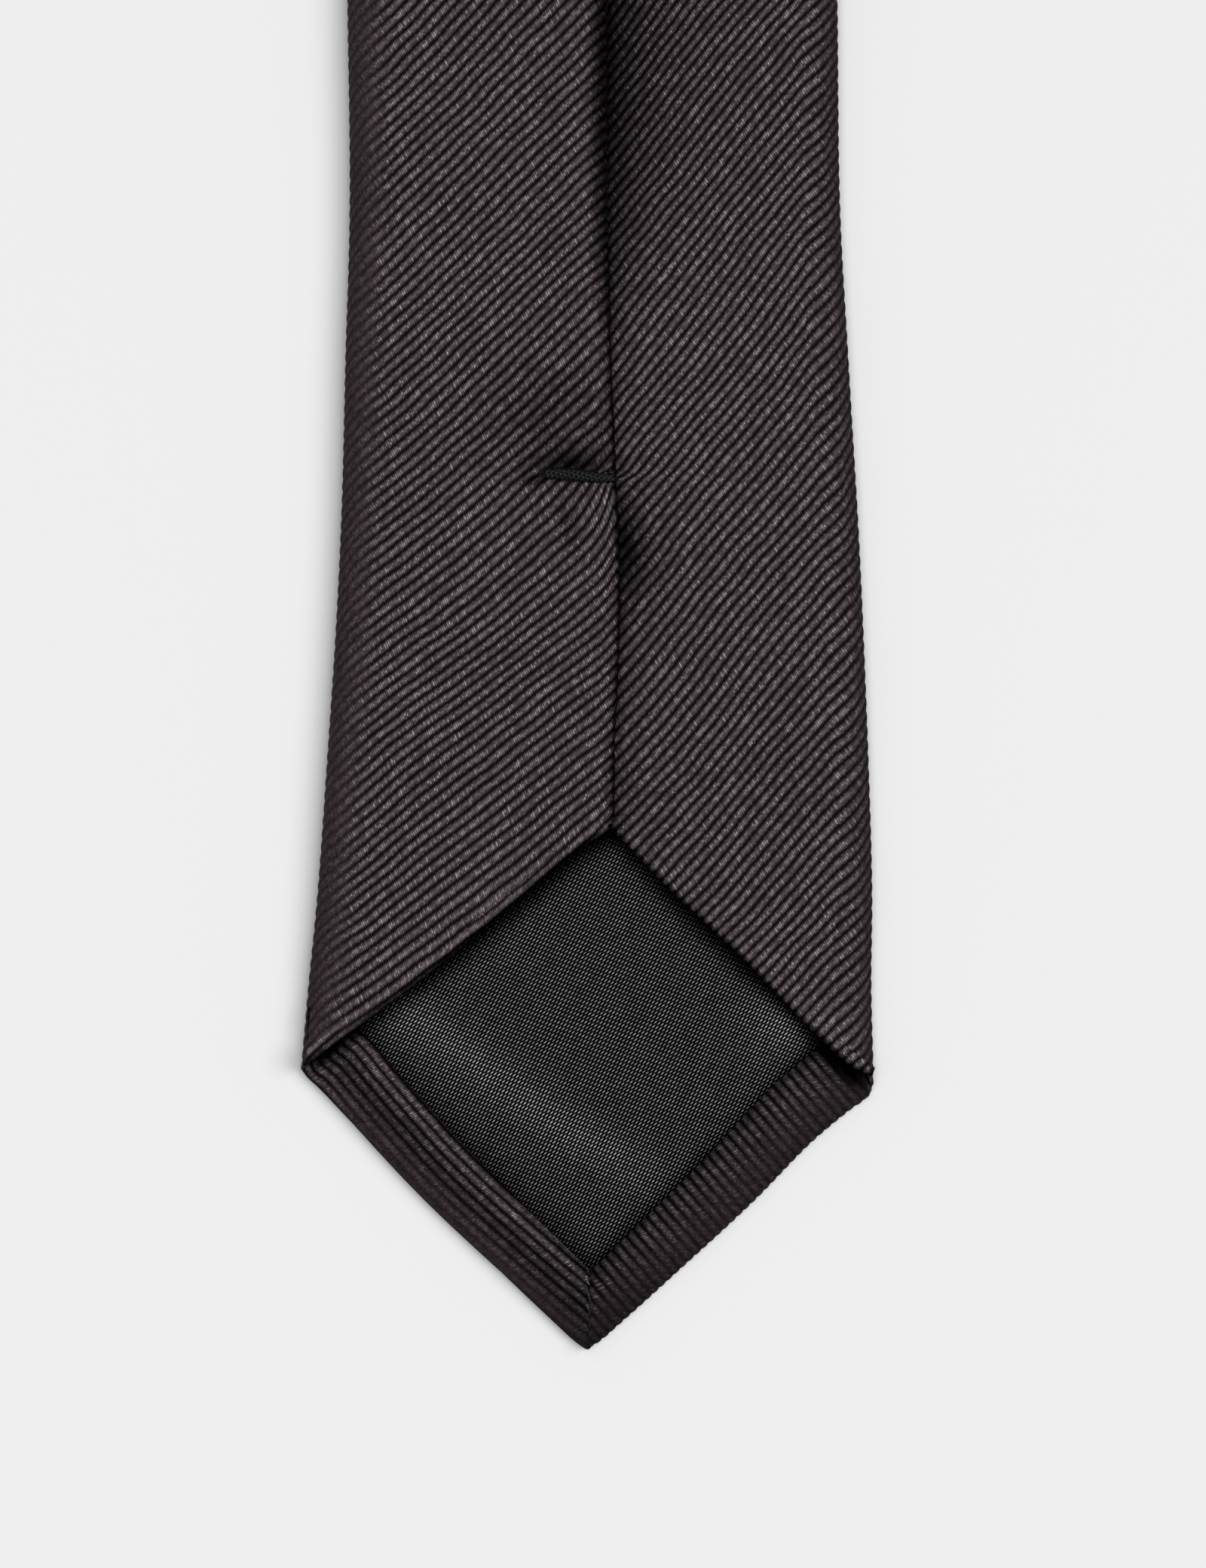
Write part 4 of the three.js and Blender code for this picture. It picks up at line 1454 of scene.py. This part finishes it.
@dataclass
class Necktie:
    """The whole tie: its pieces, what they ride on and what they stand for."""

    twill: bpy.types.Material = field(default_factory=RibbedTwill().build)
    lining: bpy.types.Material = field(default_factory=WovenTipping().build)
    thread: bpy.types.Material = field(default_factory=SpunThread().build)
    wool: bpy.types.Material = field(default_factory=BrushedWool().build)
    satin: bpy.types.Material = field(default_factory=LabelSatin().build)
    split: float = 176.0  # the wide blade's shell is two meshes, split here

    def dress_frame(self) -> None:
        """Give every CAD node the finish of its material slot."""
        finishes = {
            "ribbed_cloth": self.twill,
            "tipping": self.lining,
            "thread": self.thread,
            "interlining": self.wool,
            "label": self.satin,
        }
        for part in frame["record"]["subparts"]:
            obj = frame["nodes"][part["node"]]
            obj.data.materials.clear()
            obj.data.materials.append(finishes[part["material_slot"]])

    def across_end_fold(self, obj: bpy.types.Object) -> None:
        """Bake a piece's world transform into its mesh."""
        fold = PATH.place([0, 0], [80, 96], [0, 0])
        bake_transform(obj)

    def across_lift(self, obj: bpy.types.Object) -> None:
        """Bake a piece's world transform into its mesh."""
        fold = PATH.place([0, 0], [196, 206], [0, 0])
        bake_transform(obj)

    def shell(self) -> None:
        """Make the four panels of face cloth."""
        lower = ShellPanel("wide_blade_cloth_lower", 0, self.split, 6, 34, 32, WIDE_END).build(self.twill)
        upper = ShellPanel("wide_blade_cloth_upper", self.split, 640, 4, 14, 14).build(self.twill)
        neck = ShellPanel("neck_cloth", 640, 1010, 4, 8, 8).build(self.twill)
        narrow = ShellPanel("narrow_blade_cloth", 1010, TIE_LENGTH, 4, 10, 10, NARROW_END).build(self.twill)
        self.across_end_fold(lower)
        self.across_lift(upper)
        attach(neck, "rolled_length")
        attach(narrow, "rolled_length")
        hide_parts("wide_blade_shell_end", "wide_blade_shell_mid")
        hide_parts("wide_blade_shell_rolled")
        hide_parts("neck_shell")
        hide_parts("narrow_blade_shell")
        sizes = {lower: (0.140, 0.181), upper: (0.106, 0.464), neck: (0.082, 0.370), narrow: (0.100, 0.470)}
        for obj, flat in sizes.items():
            LOG.info("%s: %d faces", obj.name, len(obj.data.polygons))

    def inside(self) -> None:
        """Make the tippings and the interlining."""
        wide = Tipping("wide_tipping_cloth", WIDE_END, 118).build(self.lining)
        narrow = Tipping("narrow_tipping_cloth", NARROW_END, 80).build(self.lining)
        self.across_end_fold(wide)
        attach(narrow, "rolled_length")
        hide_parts("wide_tipping_end", "wide_tipping_mid")
        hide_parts("narrow_tipping")
        layers = {
            "wide_interlining_wool": (6, self.split, "wide_interlining_end", "wide_interlining_mid"),
            "wide_interlining_wool_rolled": (self.split, 819.85, "wide_interlining_rolled"),
            "narrow_interlining_wool": (820.15, TIE_LENGTH - 6, "narrow_interlining"),
        }
        for name, (start, stop, *nodes) in layers.items():
            obj = slab(name, start, stop, 2.4, 0.95, 1.5)
            obj.data.materials.append(self.wool)
            if start < self.split:
                self.across_end_fold(obj)
            elif start == self.split:
                self.across_lift(obj)
            else:
                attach(obj, "rolled_length")
            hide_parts(*nodes)
            middle = float(PLAN.half(np.array((start + stop) / 2))) * 2 - 3.2
            LOG.info("%s made", name)
        for obj in (wide, narrow):
            LOG.info("%s made", obj.name)

    def hem_seam(self, side: Side) -> bpy.types.Object:
        """Make the seam that joins a hem to the tipping, just under the hem's inner edge."""
        slope = float(WIDE_END.outline(side, np.array(HALF_WIDE))) / HALF_WIDE
        norm = math.hypot(1, slope)
        ends = []
        for i in range(22):
            places = []
            for far in (8.6 + 1.12 * i, 9.5 + 1.12 * i):
                inset = float(WIDE_END.hem(side, np.array(far))) - 0.7
                d = float(WIDE_END.outline(side, np.array(far))) + inset / norm
                places.append((side.value * (far - inset * slope / norm), d, 1.5))
            ends.append((places[0], places[1]))
        name = f"wide_hem_seam_thread_{side.name.lower()}"
        return StitchRow(name, ends, 0.12).build(self.thread)

    def sewing(self) -> None:
        """Make the threads that show."""
        bar = BarTack().build(self.thread)
        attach(bar, "blade_mid")
        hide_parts("wide_bar_tack")
        rows = [(MITRE_X - 0.1 + 0.012 * d, d) for d in (1.6, 3.0, 4.4, 5.8, 7.2, 8.6)]
        ends = [((x - 0.1, d, HEM_TOP + 0.1), (x + 0.12, d + 0.8, HEM_TOP + 0.1)) for x, d in rows]
        mitre = StitchRow("wide_mitre_thread", ends).build(self.thread)
        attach(mitre, "blade_end")
        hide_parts("wide_mitre_stitches")
        seams = []
        for side in Side:
            seam = self.hem_seam(side)
            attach(seam, "blade_end")
            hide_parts(f"wide_hem_seam_{side.name.lower()}")
            seams.append(seam)
        for obj in (bar, mitre, *seams):
            LOG.info("%s made", obj.name)

    def fittings(self) -> None:
        """Make the keeper loop and the care label."""
        keeper = KeeperLoop()
        band = keeper.build(self.twill)
        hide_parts("keeper_loop")
        tacks = [keeper.tack(side, self.thread) for side in Side]
        for tack, side in zip(tacks, Side):
            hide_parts(f"keeper_tack_{side.name.lower()}")
        for obj in (band, *tacks):
            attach(obj, "blade_mid")
        label = CareLabel().build(self.satin)
        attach(label, "rolled_length")
        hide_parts("care_label")
        LOG.info("keeper loop and care label made")

    def build(self) -> None:
        """Make the tie."""
        self.dress_frame()
        self.shell()
        self.inside()
        self.sewing()
        self.fittings()


def main() -> None:
    """Build the studio and the tie."""
    logging.basicConfig(level=logging.INFO, format="%(name)s: %(message)s")
    Studio().build()
    Necktie().build()


if __name__ == "__main__":
    main()
